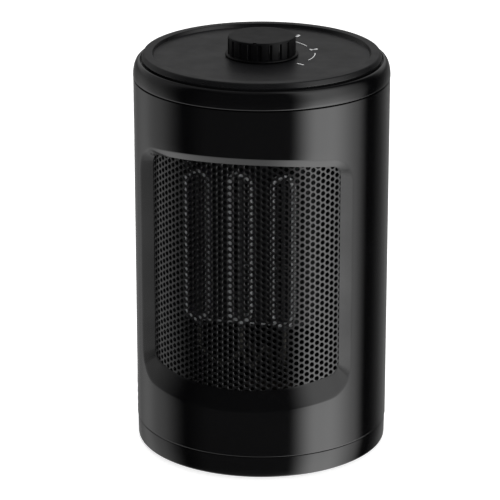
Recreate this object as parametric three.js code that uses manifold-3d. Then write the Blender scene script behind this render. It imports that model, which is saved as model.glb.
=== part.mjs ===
// Ceramic space heater: an upright cylinder with a curved perforated outlet grille at the front,
// slotted intake at the back, a recessed control panel with one fluted knob on top, and inside it
// three aluminium-cased ceramic (PTC) elements with an axial fan behind them.
// Millimetres, +Z up, the front faces -Y. The origin is the centre of the circle it stands on.
import * as THREE from "three";
import { mergeGeometries, mergeVertices } from "three/addons/utils/BufferGeometryUtils.js";
import Module from "manifold-3d";

const wasm = await Module();
wasm.setup();

// ---------------------------------------------------------------- driving dimensions
const fit = 0.3; // clearance between two parts that seat on or in each other

// housing
const bodyRadius = 75; // outside of the two shells
const shellWall = 2.2;
const shellHeight = 209.7;
const shellSeamAngle = 105; // from the front, each way
const seamGroove = 0.5; // height of the shadow gaps above and below the shells
const seamDepth = 0.9;
const edgeChamfer = 0.5;
const baseHeight = 13;
const baseInset = 0.3; // the base is this much smaller in radius than the shells
const baseTaper = 0.2;
const baseFillet = 1.2;
const baseFloor = 2.2;
const spigotHeight = 4; // collar of the base and of the ring inside the shells
const spigotWall = 1.8;
const ringProud = 0.1; // the top ring is this much fuller than the shells
const ringHeight = 11;
const ringShoulder = 3.6;
const roundSteps = 36;

// feet and the screws that come up through the base
const footRadius = 7;
const footHeight = 2.7;
const footDrop = 1.5; // how far a foot stands out of the base
const footInset = 17; // from the outside of the shells to a foot's centre
const footEdge = 0.6;
const screwRadius = 1.5;
const screwHeadRadius = 3;
const screwHeadHeight = 2;
const screwLength = 12; // of the inner screws, with the head
const screwReach = 8; // of the base screws into the shells' bosses
const bossRadius = 4;
const bossHeight = 14;
const bossAngle = 45; // first of four, from the front
const bossBite = 0.6; // how deep a boss or post is rooted in the wall beside it

// outlet window: a rounded opening on the cylinder with a surround that slopes in to the grille
const windowHalfAngle = 57.5;
const windowBottom = 28.5; // above the lower edge of the shells
const windowHeight = 153.5;
const windowCorner = 16;
const windowBow = 6; // the middle of its top and bottom edges stands out by this much
const windowFrame = 8; // degrees of full cylinder beside the window
const surroundDepth = 5.2;
const surroundSide = 4.8; // width of the sloping surround at the sides, along the arc
const surroundTop = 5.6;
const surroundBottom = 10.6;
const surroundLip = 1;
const lipCorner = 6;

// perforated grille
const grilleThickness = 1;
const grilleOverlap = 2; // how far it reaches behind the lip, all round
const grilleCorner = 7;
const holeColumns = 10;
const holePitch = 14; // up a column
const holeAcross = 9; // hexagonal holes, across corners
const grilleMargin = 1.2; // least metal between a hole and the plate's edge

// intake slots of the rear shell
const rearStrips = 21;
const slotColumns = 13;
const slotRows = 3;
const slotWidth = 3.8;
const slotHeight = 40;
const slotRib = 6.5;
const slotBottom = 42; // above the lower edge of the shells

// cord inlet bush, low on the rear shell
const inletHeight = 17; // above the lower edge of the shells
const inletBore = 3.4;
const inletRadius = 6;
const inletFlange = 1.6;
const inletCollar = 2; // how far the flange behind the shell reaches out
const inletLength = 9;

// control panel
const panelHeight = 14.9; // its rim above the upper edge of the shells
const panelClearance = 0.4;
const panelFillet = 1;
const panelRimWidth = 5.4;
const panelRecess = 2.1;
const panelThickness = 2.2;
const panelSkirt = 2.2;
const ledgeDepth = 5.5; // the ring's ledge below its top
const ledgeWidth = 2.4;

// knob and rotary switch
const knobRadius = 19.9;
const knobHeight = 11.2;
const knobLift = 0.5;
const knobSkirtRadius = 21.4;
const knobSkirtHeight = 1.6;
const knobFlutes = 20;
const fluteDepth = 1.5;
const fluteWidth = 3.2;
const knobTop = 2; // solid thickness above the shaft
const nutRadius = 7;
const nutHeight = 2.4;
const bushRadius = 4.5;
const bushStand = 4.6; // bush above the panel
const shaftRadius = 3;
const shaftFlat = 1.8; // from the axis to the flat of the shaft
const switchWidth = 28;
const switchHeight = 18;
const shaftDepth = 6; // shaft inside the switch body
const switchTabPitch = 8;
const pointerWidth = 1.6;
const pointerLength = 3;

// heating elements
const elementWidth = 12.4;
const elementHeight = 90;
const elementPitch = 25.4;
const elementDepth = 12;
const elementWall = 1.1;
const elementCentre = 122.5; // above the lower edge of the shells
const grilleClearance = 1.5; // elements to the back of the grille
const ceramicWidth = 2.2;
const finThickness = 0.5;
const finPitch = 20;
const tabWidth = 4;
const tabLength = 6;
const tabThickness = 0.8;
const frameThickness = 2;
const frameMargin = 5; // heater frame around the elements
const screwInset = 3.6; // from a frame's edge to its corner screws, and the radius of their bosses

// fan
const fanRadius = 44;
const fanTipClearance = 2;
const tunnelWall = 2;
const tunnelLength = 22;
const ductLength = 16;
const ductWall = 1.8;
const shroudPlate = 2;
const shroudMargin = 4; // plate above and below the duct
const bladeCount = 7;
const bladeThickness = 1.5;
const bladeRootPitch = 48; // degrees from the plane of rotation
const bladeTipPitch = 26;
const bladeRootChord = 17;
const bladeTipChord = 24;
const bladeCamber = 0.09; // of the chord
const hubRadius = 13;
const hubLength = 15;
const hubChamfer = 3;
const spindleRadius = 1.5;
const clipRadius = 3.4;
const clipThickness = 1.6;
const bracketThickness = 2;
const bracketDisc = 17;
const bracketArm = 8;
const motorRadius = 20;
const motorLength = 26;
const motorEdge = 2;
const shaftReach = 15; // motor shaft inside the motor
const motorBossRadius = 6;
const motorBossLength = 3;

// tip-over switch
const plungerRadius = 3;
const plungerTravel = 3.5;
const plungerFlange = 5.2;
const plungerFlangeThickness = 1.2;
const plungerSide = -20; // its place in front of the centre
const springWire = 0.45;
const springTurns = 3.5;
const springSides = 4;
const springTurnSteps = 9;
const springRoom = 8.8; // height of the spring with the plunger pressed in
const tipSwitchWidth = 18;
const tipSwitchDepth = 12;
const tipSwitchHeight = 9;
const tipLeg = 2.4;
const tipTabPitch = 10;

// thermal cut-out, terminal block and leads
const cutoutRadius = 7;
const cutoutHeight = 5;
const cutoutPlate = 1;
const cutoutEar = 4; // its plate beyond the cup, each side
const cutoutTabPitch = 8;
const blockLength = 34;
const blockDepth = 10;
const blockHeight = 14;
const blockBack = 30; // its place behind the centre
const blockPitch = 10;
const leadSocket = 4;
const leadRadius = 1.1;
const leadSides = 6;
const leadSteps = 12;

// ---------------------------------------------------------------- derived levels and radii
const shellInner = bodyRadius - shellWall;
const baseBottom = footDrop;
const footCircle = bodyRadius - footInset;
const floorTop = baseBottom + baseFloor;
const shellBottom = baseBottom + baseHeight;
const shellTop = shellBottom + shellHeight;
const spigotRadius = shellInner - fit;
const spigotInner = spigotRadius - spigotWall;
const spigotTop = shellBottom + spigotHeight;
const ringRadius = bodyRadius + ringProud;
const ringTop = shellTop + ringHeight;
const ringInner = ringRadius - ringShoulder - 1;
const ledge = ringTop - ledgeDepth;
const ledgeInner = ringInner - ledgeWidth;
const panelRadius = ringInner - panelClearance;
const panelTop = shellTop + panelHeight;
const panelFloor = panelTop - panelRecess;
const panelUnderside = panelFloor - panelThickness;
const bossCircle = shellInner - bossRadius + bossBite;
const postRadius = spigotRadius - bossCircle;
const lipRadius = bodyRadius - surroundDepth;
const grilleRadius = lipRadius - surroundLip - fit;
const grilleInner = grilleRadius - grilleThickness;
const windowZ = [shellBottom + windowBottom, shellBottom + windowBottom + windowHeight];
const openingZ = [windowZ[0] + surroundBottom, windowZ[1] - surroundTop];
const openingHalfAngle = windowHalfAngle - degrees(surroundSide / bodyRadius);
const elementZ = shellBottom + elementCentre;
const stackHalfWidth = elementPitch + elementWidth / 2;
const elementFront = -Math.sqrt((grilleInner - grilleClearance) ** 2 - stackHalfWidth ** 2);
const elementBack = elementFront + elementDepth;
const frameFront = elementBack + fit;
const frameBack = frameFront + frameThickness;
const frameHalfWidth = stackHalfWidth + frameMargin;
const frameHalfHeight = elementHeight / 2 + frameMargin;
const ductFront = frameBack + fit;
const plateFront = ductFront + ductLength;
const plateBack = plateFront + shroudPlate;
const tunnelBack = plateBack + tunnelLength;
const tunnelInner = fanRadius + fanTipClearance;
const tunnelOuter = tunnelInner + tunnelWall;
const bracketFront = tunnelBack + fit;
const bracketBack = bracketFront + bracketThickness;
const bracketCircle = tunnelInner + screwInset;
const motorFront = bracketBack + fit;
const hubBack = motorFront - motorBossLength - 1;
const hubFront = hubBack - hubLength;

// ---------------------------------------------------------------- finishes
const finish = (color, roughness, metalness = 0) =>
  new THREE.MeshStandardMaterial({ color, roughness, metalness });
const glossBlack = finish(0x0d0d0f, 0.14);
const satinBlack = finish(0x2a2a2c, 0.45);
const knobBlack = finish(0x37373a, 0.5);
const grilleBlack = finish(0x141416, 0.35, 0.6);
const rubberBlack = finish(0x1a1a1a, 0.85);
const moulding = finish(0x1d1d1f, 0.6);
const aluminium = finish(0xc3c6ca, 0.35, 1);
const steel = finish(0x9b9da1, 0.35, 1);
const ceramic = finish(0x8d8f94, 0.7);
const fanPlastic = finish(0x2f3236, 0.5);
const leadSleeve = finish(0xd8d6cf, 0.6);
const switchPlastic = finish(0x3b3d40, 0.55);

// ---------------------------------------------------------------- building blocks
const smallSteps = 8; // round a screw, a boss or a bore
const mediumSteps = 16; // round a foot, a bush or a shaft

function radians(angle) {
  return (angle * Math.PI) / 180;
}

function degrees(angle) {
  return (angle * 180) / Math.PI;
}

// a point on a cylinder about Z: the angle runs from the front towards +X
function around(radius, angle, z) {
  const a = radians(angle);
  return new THREE.Vector3(radius * Math.sin(a), -radius * Math.cos(a), z);
}

// position only, with shared vertices; what a cut or join gives is that already
function bare(geometry) {
  if (geometry.userData.shared) return geometry;
  const copy = geometry.clone();
  for (const name of Object.keys(copy.attributes)) {
    if (name !== "position") copy.deleteAttribute(name);
  }
  return mergeVertices(copy, 1e-4);
}

function manifold(geometry) {
  const merged = bare(geometry);
  return new wasm.Manifold(new wasm.Mesh({
    numProp: 3,
    vertProperties: new Float32Array(merged.attributes.position.array),
    triVerts: new Uint32Array(merged.index.array),
  }));
}

function fromManifold(body) {
  const mesh = body.getMesh();
  const geometry = new THREE.BufferGeometry();
  geometry.setAttribute("position", new THREE.BufferAttribute(mesh.vertProperties, 3));
  geometry.setIndex(new THREE.BufferAttribute(mesh.triVerts, 1));
  geometry.userData.shared = true;
  return geometry;
}

function joined(first, ...others) {
  return fromManifold(others.reduce((sum, g) => sum.add(manifold(g)), manifold(first)));
}

function cut(base, ...tools) {
  return fromManifold(tools.reduce((rest, g) => rest.subtract(manifold(g)), manifold(base)));
}

// closed outline of [radius, z] pairs, anticlockwise with the axis on the left, turned about Z
function turned(profile, steps = roundSteps) {
  const points = profile.map(([r, z]) => new THREE.Vector2(r, z));
  points.push(points[0].clone());
  return new THREE.LatheGeometry(points, steps).rotateX(Math.PI / 2);
}

// outline of [radius, z] pairs that starts and ends on the axis
function turnedSolid(profile, steps = roundSteps) {
  const points = profile.map(([r, z]) => new THREE.Vector2(r, z));
  return new THREE.LatheGeometry(points, steps).rotateX(Math.PI / 2);
}

function discZ(radius, z0, z1, steps = smallSteps) {
  return turnedSolid([[0, z0], [radius, z0], [radius, z1], [0, z1]], steps);
}

function tubeZ(inner, outer, z0, z1, steps = mediumSteps) {
  return turned([[inner, z0], [outer, z0], [outer, z1], [inner, z1]], steps);
}

// turns a piece made about Z so that its +Z runs along +Y, and lifts its axis to height z
function alongY(geometry, z = 0) {
  return geometry.rotateX(-Math.PI / 2).translate(0, 0, z);
}

function box(x0, x1, y0, y1, z0, z1) {
  return new THREE.BoxGeometry(x1 - x0, y1 - y0, z1 - z0)
    .translate((x0 + x1) / 2, (y0 + y1) / 2, (z0 + z1) / 2);
}

function prism(shape, depth, steps = 4) {
  return new THREE.ExtrudeGeometry(shape, { depth, bevelEnabled: false, curveSegments: steps });
}

// wall that follows the cylinder from angle a0 to a1, between two radii and two heights
function sector(inner, outer, a0, a1, z0, z1, steps) {
  const shape = new THREE.Shape();
  const angles = Array.from({ length: steps + 1 }, (_, i) => a0 + ((a1 - a0) * i) / steps);
  const rim = [
    ...angles.map((a) => around(outer, a, 0)),
    ...angles.reverse().map((a) => around(inner, a, 0)),
  ];
  shape.setFromPoints(rim.map((p) => new THREE.Vector2(p.x, p.y)));
  return prism(shape, z1 - z0).translate(0, 0, z0);
}

// wall of upright strips side by side: each is a flat shape of arc length and height, with its
// holes, bent round the front of the cylinder
function bent(shapes, inner, outer) {
  const strips = shapes.map((shape) => {
    const strip = bare(prism(shape, outer - inner));
    const at = strip.attributes.position;
    for (let i = 0; i < at.count; i++) {
      const p = around(inner + at.getZ(i), degrees(at.getX(i) / outer), at.getY(i));
      at.setXYZ(i, p.x, p.y, p.z);
    }
    return strip;
  });
  return joined(...strips);
}

// left and right edges of equal columns side by side, from -half to half
function columns(half, count) {
  const edges = Array.from({ length: count + 1 }, (_, i) => -half + (2 * half * i) / count);
  return edges.slice(1).map((right, i) => [edges[i], right]);
}

// rectangle of [x0, x1] by [z0, z1]; the corners of a side of -1 (left) or +1 (right) are rounded
function strip([x0, x1], [z0, z1], rounded = 0, size = 0) {
  const shape = new THREE.Shape();
  const left = rounded < 0 ? size : 0;
  const right = rounded > 0 ? size : 0;
  shape.moveTo(x0 + left, z0);
  shape.lineTo(x1 - right, z0);
  if (right) shape.absarc(x1 - right, z0 + right, right, -Math.PI / 2, 0);
  shape.lineTo(x1, z1 - right);
  if (right) shape.absarc(x1 - right, z1 - right, right, 0, Math.PI / 2);
  shape.lineTo(x0 + left, z1);
  if (left) shape.absarc(x0 + left, z1 - left, left, Math.PI / 2, Math.PI);
  shape.lineTo(x0, z0 + left);
  if (left) shape.absarc(x0 + left, z0 + left, left, Math.PI, 1.5 * Math.PI);
  return shape;
}

// closed skin through equal loops of points; the last loop is joined to the first
function skin(loops) {
  const count = loops[0].length;
  const positions = loops.flat().flatMap((p) => [p.x, p.y, p.z]);
  const index = [];
  loops.forEach((_, i) => {
    const next = (i + 1) % loops.length;
    for (let k = 0; k < count; k++) {
      const a = i * count + k;
      const b = i * count + ((k + 1) % count);
      const c = next * count + ((k + 1) % count);
      const d = next * count + k;
      index.push(a, b, c, a, c, d);
    }
  });
  const geometry = new THREE.BufferGeometry();
  geometry.setAttribute("position", new THREE.Float32BufferAttribute(positions, 3));
  geometry.setIndex(index);
  return geometry;
}

// solid through a row of equal sections, with a fan of triangles over each end
function loft(sections) {
  const count = sections[0].length;
  const positions = sections.flat().flatMap((p) => [p.x, p.y, p.z]);
  const index = [];
  for (let i = 0; i + 1 < sections.length; i++) {
    for (let k = 0; k < count; k++) {
      const a = i * count + k;
      const b = i * count + ((k + 1) % count);
      index.push(a, b, b + count, a, b + count, a + count);
    }
  }
  const last = (sections.length - 1) * count;
  for (let k = 1; k + 1 < count; k++) {
    index.push(0, k + 1, k, last, last + k, last + k + 1);
  }
  const geometry = new THREE.BufferGeometry();
  geometry.setAttribute("position", new THREE.Float32BufferAttribute(positions, 3));
  geometry.setIndex(index);
  return geometry;
}

// quarter round from one direction to the next, about a centre, as [radius, z] pairs
function fillet(r, z, size, from, steps = 2) {
  return Array.from({ length: steps + 1 }, (_, i) => {
    const a = radians(from + (90 * i) / steps);
    return [r + size * Math.cos(a), z + size * Math.sin(a)];
  });
}

// stadium outline: straight sides of the given height with round ends
function stadium(width, height) {
  const r = width / 2;
  const straight = height / 2 - r;
  const shape = new THREE.Shape();
  shape.absarc(0, straight, r, 0, Math.PI);
  shape.absarc(0, -straight, r, Math.PI, 2 * Math.PI);
  shape.closePath();
  return shape;
}

function polygon(radius, sides) {
  const shape = new THREE.Shape();
  shape.setFromPoints(Array.from({ length: sides }, (_, i) => {
    const a = (2 * Math.PI * i) / sides;
    return new THREE.Vector2(radius * Math.cos(a), radius * Math.sin(a));
  }));
  return shape;
}

// upright plate of a shape drawn in X and Z, from y0 to y1, its middle at height z
function upright(shape, y0, y1, x, z) {
  return prism(shape, y1 - y0).rotateX(Math.PI / 2).translate(x, y1, z);
}

// flat terminal of a switch or an element, standing on end
function terminalTab(x, y, z0, z1) {
  return box(x - tabWidth / 2, x + tabWidth / 2, y - tabThickness / 2, y + tabThickness / 2, z0, z1);
}

const heater = new THREE.Group();
heater.name = "ceramic_space_heater";

function part(name, geometry, material) {
  const mesh = new THREE.Mesh(bare(geometry), material);
  mesh.name = name;
  heater.add(mesh);
}

// ---------------------------------------------------------------- outlet window loops
const cornerSteps = 3; // half a corner
const acrossSteps = 16; // one long edge, corners not counted
const upSteps = 3;
const sideSteps = [acrossSteps, upSteps, acrossSteps, upSteps];

function mixPoints(first, second, share) {
  return first.map((value, i) => value + (second[i] - value) * share);
}

// [angle, z] points round a window, anticlockwise from outside, from the middle of its lower
// left corner: each side is half a corner, a straight and half a corner
function windowLoop(half, [z0, z1], corner, bow, radius) {
  const turn = degrees(corner / radius);
  const centres = [[-half + turn, z0 + corner], [half - turn, z0 + corner],
    [half - turn, z1 - corner], [-half + turn, z1 - corner]];
  const onCorner = ([angle, z], direction) =>
    [angle + turn * Math.cos(radians(direction)), z + corner * Math.sin(radians(direction))];
  const points = centres.flatMap((from, side) => {
    const to = centres[(side + 1) % 4];
    const facing = 270 + 90 * side;
    const steps = sideSteps[side];
    const bend = (centre, first, count, start) => Array.from({ length: count }, (_, i) =>
      onCorner(centre, first + (45 * (i + start)) / cornerSteps));
    const [a, b] = [onCorner(from, facing), onCorner(to, facing)];
    return [
      ...bend(from, facing - 45, cornerSteps, 0),
      ...Array.from({ length: steps + 1 }, (_, i) => mixPoints(a, b, i / steps)),
      ...bend(to, facing, cornerSteps - 1, 1),
    ];
  });
  const middle = (z0 + z1) / 2;
  return points.map(([angle, z]) => {
    const sag = bow * (angle / half) ** 2 * Math.min(1, Math.abs(z - middle) / (middle - z0));
    return [angle, z > middle ? z - sag : z + sag];
  });
}

// [angle, z] points round the whole front shell, matched one to one with a window loop
function borderLoop(half, z0, z1) {
  const corners = [[-half, z0], [half, z0], [half, z1], [-half, z1]];
  return corners.flatMap((from, side) => {
    const count = sideSteps[side] + 2 * cornerSteps;
    return Array.from({ length: count }, (_, i) =>
      mixPoints(from, corners[(side + 1) % 4], i / count));
  });
}

function mixLoops(first, second, share) {
  return first.map((point, i) => mixPoints(point, second[i], share));
}

function onCylinder(loop, radius) {
  return loop.map(([angle, z]) => around(radius, angle, z));
}

// ---------------------------------------------------------------- housing
const postPlaces = [0, 1, 2, 3].map((i) => bossAngle + 90 * i);

function baseCup() {
  const outer = bodyRadius - baseInset;
  const groove = bodyRadius - baseInset - seamDepth;
  const cup = turnedSolid([
    [0, baseBottom],
    ...fillet(outer - baseTaper - baseFillet, baseBottom + baseFillet, baseFillet, -90),
    [outer, shellBottom - seamGroove],
    [groove, shellBottom - seamGroove],
    [groove, shellBottom - fit],
    [spigotRadius, shellBottom - fit],
    [spigotRadius, spigotTop],
    [spigotInner, spigotTop],
    [spigotInner, floorTop],
    [0, floorTop],
  ]);
  const posts = [];
  const holes = [];
  for (const angle of postPlaces) {
    const p = around(bossCircle, angle, 0);
    const headTop = baseBottom + screwHeadHeight + fit;
    posts.push(discZ(postRadius, baseBottom + 1, spigotTop).translate(p.x, p.y, 0));
    holes.push(discZ(screwRadius + fit, baseBottom - 1, spigotTop + 1).translate(p.x, p.y, 0));
    holes.push(discZ(screwHeadRadius + fit, baseBottom - 1, headTop).translate(p.x, p.y, 0));
  }
  for (let i = 0; i < 4; i++) {
    const p = around(footCircle, 90 * i, 0);
    holes.push(discZ(footRadius + fit, baseBottom - 1, footHeight + fit, mediumSteps)
      .translate(p.x, p.y, 0));
  }
  holes.push(discZ(plungerRadius + fit, baseBottom - 1, floorTop + 1, mediumSteps)
    .translate(0, plungerSide, 0));
  return cut(joined(cup, ...posts), ...holes);
}

function foot(i) {
  const p = around(footCircle, 90 * i, 0);
  return turnedSolid([
    [0, 0], [footRadius - footEdge, 0], [footRadius, footEdge], [footRadius, footHeight],
    [0, footHeight],
  ], mediumSteps).translate(p.x, p.y, 0);
}

function baseScrew(angle) {
  const p = around(bossCircle, angle, 0);
  const headTop = baseBottom + screwHeadHeight;
  return turnedSolid([
    [0, baseBottom + fit], [screwHeadRadius, baseBottom + fit], [screwHeadRadius, headTop],
    [screwRadius, headTop], [screwRadius, spigotTop + screwReach], [0, spigotTop + screwReach],
  ], smallSteps).translate(p.x, p.y, 0);
}

// hollow screw boss on the inside of a shell, above the base's post
function boss(angle) {
  const p = around(bossCircle, angle, 0);
  const z0 = spigotTop + fit;
  return discZ(bossRadius, z0, z0 + bossHeight).translate(p.x, p.y, 0);
}

function bossBore(angle) {
  const p = around(bossCircle, angle, 0);
  return discZ(screwRadius + fit, spigotTop, spigotTop + screwReach + 2).translate(p.x, p.y, 0);
}

function frontShell() {
  const half = shellSeamAngle - degrees(fit / 2 / bodyRadius);
  const face = borderLoop(windowHalfAngle + windowFrame, shellBottom, shellTop);
  const rim = windowLoop(windowHalfAngle, windowZ, windowCorner, windowBow, bodyRadius);
  const lip = windowLoop(openingHalfAngle, openingZ, lipCorner, windowBow, lipRadius);
  const between = mixLoops(face, rim, 0.5);
  const windowed = skin([
    onCylinder(face, bodyRadius),
    onCylinder(between, bodyRadius),
    onCylinder(rim, bodyRadius),
    onCylinder(lip, lipRadius),
    onCylinder(lip, lipRadius - surroundLip),
    onCylinder(rim, shellInner),
    onCylinder(between, shellInner),
    onCylinder(face, shellInner),
  ]);
  const flank = (a0, a1) => sector(shellInner, bodyRadius, a0, a1, shellBottom, shellTop, 7);
  const shell = joined(windowed, flank(windowHalfAngle + windowFrame, half),
    flank(-half, -windowHalfAngle - windowFrame));
  const front = postPlaces.filter((a) => Math.cos(radians(a)) > 0);
  return cut(joined(shell, ...front.map(boss)), ...front.map(bossBore));
}

// the strips are as wide as the slots' pitch, and plain beside and outside the slotted field
function rearShell() {
  const half = radians(180 - shellSeamAngle) * bodyRadius - fit / 2;
  const plain = (rearStrips - slotColumns) / 2;
  const shapes = columns(half, rearStrips).map(([x0, x1], c) => {
    const shape = strip([x0, x1], [shellBottom, shellTop]);
    if (c >= plain && c < rearStrips - plain) {
      for (let r = 0; r < slotRows; r++) {
        const z = shellBottom + slotBottom + r * (slotHeight + slotRib) + slotHeight / 2;
        const slot = stadium(slotWidth, slotHeight).getPoints(1);
        shape.holes.push(new THREE.Path(slot.map((p) =>
          new THREE.Vector2(p.x + (x0 + x1) / 2, p.y + z))));
      }
    }
    return shape;
  });
  const shell = bent(shapes, shellInner, bodyRadius).rotateZ(Math.PI);
  const back = postPlaces.filter((a) => Math.cos(radians(a)) < 0);
  const inlet = alongY(discZ(inletRadius + fit, shellInner - shellWall, bodyRadius + 1, mediumSteps),
    shellBottom + inletHeight);
  return cut(joined(shell, ...back.map(boss)), ...back.map(bossBore), inlet);
}

function topRing() {
  const groove = bodyRadius - seamDepth;
  const underLedge = ledge - ledgeWidth;
  return turned([
    [spigotInner, shellTop - spigotHeight],
    [spigotRadius, shellTop - spigotHeight],
    [spigotRadius, shellTop + fit],
    [groove, shellTop + fit],
    [groove, shellTop + seamGroove],
    [ringRadius - edgeChamfer, shellTop + seamGroove],
    [ringRadius, shellTop + seamGroove + edgeChamfer],
    ...fillet(ringRadius - ringShoulder, ringTop - ringShoulder, ringShoulder, 0),
    [ringInner, ringTop - (ringRadius - ringShoulder - ringInner)],
    [ringInner, ledge],
    [ledgeInner, ledge],
    [ledgeInner, underLedge],
    [spigotInner, underLedge - (spigotInner - ledgeInner)],
  ]);
}

function controlPanel() {
  const rimInner = panelRadius - panelFillet - panelRimWidth;
  return turned([
    [bushRadius + fit, panelUnderside],
    [panelRadius - panelSkirt, panelUnderside],
    [panelRadius - panelSkirt, ledge + fit],
    [panelRadius, ledge + fit],
    ...fillet(panelRadius - panelFillet, panelTop - panelFillet, panelFillet, 0),
    [rimInner, panelTop],
    [rimInner - panelRecess / 2, panelFloor],
    [bushRadius + fit, panelFloor],
  ]);
}

function cordInlet() {
  const outside = bodyRadius + ringProud / 2;
  const collar = inletRadius + inletCollar;
  const seat = Math.sqrt(shellInner ** 2 - collar ** 2) - fit;
  const bush = turned([
    [inletBore, outside - inletLength],
    [inletRadius - 1, outside - inletLength],
    [collar, seat - inletFlange],
    [collar, seat],
    [inletRadius, seat],
    [inletRadius, outside - edgeChamfer],
    [inletRadius - edgeChamfer, outside],
    [inletBore, outside],
  ], mediumSteps);
  return alongY(bush, shellBottom + inletHeight);
}

part("base_cup", baseCup(), glossBlack);
["front", "right", "back", "left"].forEach((side, i) => part(`foot_${side}`, foot(i), rubberBlack));
part("front_shell", frontShell(), glossBlack);
part("rear_shell", rearShell(), glossBlack);
part("top_ring", topRing(), glossBlack);
part("control_panel", controlPanel(), satinBlack);
part("cord_inlet", cordInlet(), rubberBlack);
postPlaces.forEach((angle, i) => part(`base_screw_${i + 1}`, baseScrew(angle), steel));

// ---------------------------------------------------------------- grille
function frontGrille() {
  const half = radians(openingHalfAngle) * grilleRadius + grilleOverlap;
  const low = openingZ[0] - grilleOverlap;
  const high = openingZ[1] + grilleOverlap;
  const reach = holeAcross / 2 + grilleMargin;
  const rows = Math.floor((high - low - 2 * reach) / holePitch);
  const first = (low + high - rows * holePitch) / 2;
  const shapes = columns(half, holeColumns).map(([x0, x1], c) => {
    const side = c === 0 ? -1 : Number(c === holeColumns - 1);
    const shape = strip([x0, x1], [low, high], side, grilleCorner);
    const odd = c % 2;
    for (let r = 0; r < rows + 1 - odd; r++) {
      const z = first + holePitch * (r + odd / 2);
      const beside = side ? Math.max(0, grilleCorner - (x1 - x0) / 2) : 0;
      const above = Math.max(0, grilleCorner - Math.min(z - low, high - z));
      if (beside && above && grilleCorner - Math.hypot(beside, above) < reach) continue;
      const hole = polygon(holeAcross / 2, 6);
      shape.holes.push(new THREE.Path(hole.getPoints().map((p) =>
        new THREE.Vector2(p.x + (x0 + x1) / 2, p.y + z))));
    }
    return shape;
  });
  return bent(shapes, grilleInner, grilleRadius);
}

part("front_grille", frontGrille(), grilleBlack);

// ---------------------------------------------------------------- knob and rotary switch
const knobBottom = panelFloor + knobLift;
const knobTopZ = knobBottom + knobHeight;
const bushTop = panelFloor + bushStand;
const switchTop = panelUnderside - fit;
const switchBottom = switchTop - switchHeight;

// what is cut away to make the flat of the switch shaft, at a distance from the axis
function flatBlock(distance, z0, z1) {
  const reach = 3 * shaftRadius;
  return box(-reach, reach, -reach, -distance, z0, z1);
}

function knob() {
  const outline = new THREE.Shape();
  const step = 360 / knobFlutes;
  const half = degrees(fluteWidth / 2 / knobRadius);
  const valley = knobRadius - fluteDepth;
  const points = [];
  for (let i = 0; i < knobFlutes; i++) {
    const middle = step * (i + 0.5);
    points.push(around(knobRadius, middle - half, 0), around(valley, middle - half * 0.6, 0));
    points.push(around(valley, middle + half * 0.6, 0), around(knobRadius, middle + half, 0));
  }
  outline.setFromPoints(points.map((p) => new THREE.Vector2(p.x, p.y)));
  const grip = prism(outline, knobHeight).translate(0, 0, knobBottom);
  const skirt = discZ(knobSkirtRadius, knobBottom, knobBottom + knobSkirtHeight, knobFlutes * 2);
  const pocketTop = bushTop + knobLift;
  const pocket = discZ(nutRadius + 1, knobBottom - 1, pocketTop, mediumSteps);
  const bore = cut(
    discZ(shaftRadius + fit, pocketTop - 1, knobTopZ - knobTop, mediumSteps),
    flatBlock(shaftFlat + fit, pocketTop - 2, knobTopZ));
  const pointer = box(-pointerWidth / 2, pointerWidth / 2, -knobRadius - 2,
    -knobRadius + pointerLength, knobTopZ - 1, knobTopZ + 1);
  return cut(joined(grip, skirt), pocket, bore, pointer);
}

function switchShaft() {
  const low = switchTop - shaftDepth;
  const high = knobTopZ - knobTop - fit;
  const flatFrom = bushTop + knobLift - fit;
  return cut(discZ(shaftRadius, low, high, mediumSteps), flatBlock(shaftFlat, flatFrom, high + 1));
}

function rotarySwitch() {
  const half = switchWidth / 2;
  const body = box(-half, half, -half, half, switchBottom, switchTop);
  const bush = discZ(bushRadius, switchTop - 1, bushTop, mediumSteps);
  const tabs = [-1, 0, 1].map((i) =>
    terminalTab(i * switchTabPitch, 0, switchBottom - tabLength, switchBottom + 1));
  const bore = discZ(shaftRadius + fit, switchTop - shaftDepth - fit, bushTop + 1, mediumSteps);
  return cut(joined(body, bush, ...tabs), bore);
}

function switchNut() {
  const low = panelFloor + fit;
  return cut(discZ(nutRadius, low, low + nutHeight, 6),
    discZ(bushRadius + fit, low - 1, low + nutHeight + 1, mediumSteps));
}

part("knob", knob(), knobBlack);
part("switch_shaft", switchShaft(), switchPlastic);
part("rotary_switch", rotarySwitch(), switchPlastic);
part("switch_nut", switchNut(), steel);

// ---------------------------------------------------------------- heating elements
const elementPlaces = { left: -elementPitch, centre: 0, right: elementPitch };
const elementMiddle = (elementFront + elementBack) / 2;
const elementBottom = elementZ - elementHeight / 2;
const tabBottom = elementBottom - tabLength;

// aluminium case with cooling fins that reach in from both sides towards the ceramic strip
function elementCase(x) {
  const inner = elementWidth - 2 * elementWall;
  const outline = stadium(elementWidth, elementHeight);
  outline.holes.push(stadium(inner, elementHeight - 2 * elementWall));
  const fins = [];
  const finReach = elementHeight / 2 - elementWidth / 2;
  const count = Math.floor((2 * finReach) / finPitch);
  for (let i = 0; i <= count; i++) {
    const z = elementZ + finPitch * (i - count / 2);
    for (const side of [-1, 1]) {
      const near = side * (ceramicWidth / 2 + fit);
      const far = side * (inner / 2 + elementWall / 2);
      fins.push(box(x + Math.min(near, far), x + Math.max(near, far), elementFront + 1,
        elementBack - 1, z - finThickness / 2, z + finThickness / 2));
    }
  }
  const tab = terminalTab(x, elementMiddle, tabBottom, elementBottom + elementWall / 2);
  return joined(upright(outline, elementFront, elementBack, x, elementZ), ...fins, tab);
}

function ceramicStrip(x) {
  const arcDrop = 0.2; // the case curves in by this much over the strip's width
  const half = elementHeight / 2 - elementWall - fit - arcDrop;
  return box(x - ceramicWidth / 2, x + ceramicWidth / 2, elementFront + 1.5, elementBack - 1.5,
    elementZ - half, elementZ + half);
}

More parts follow.
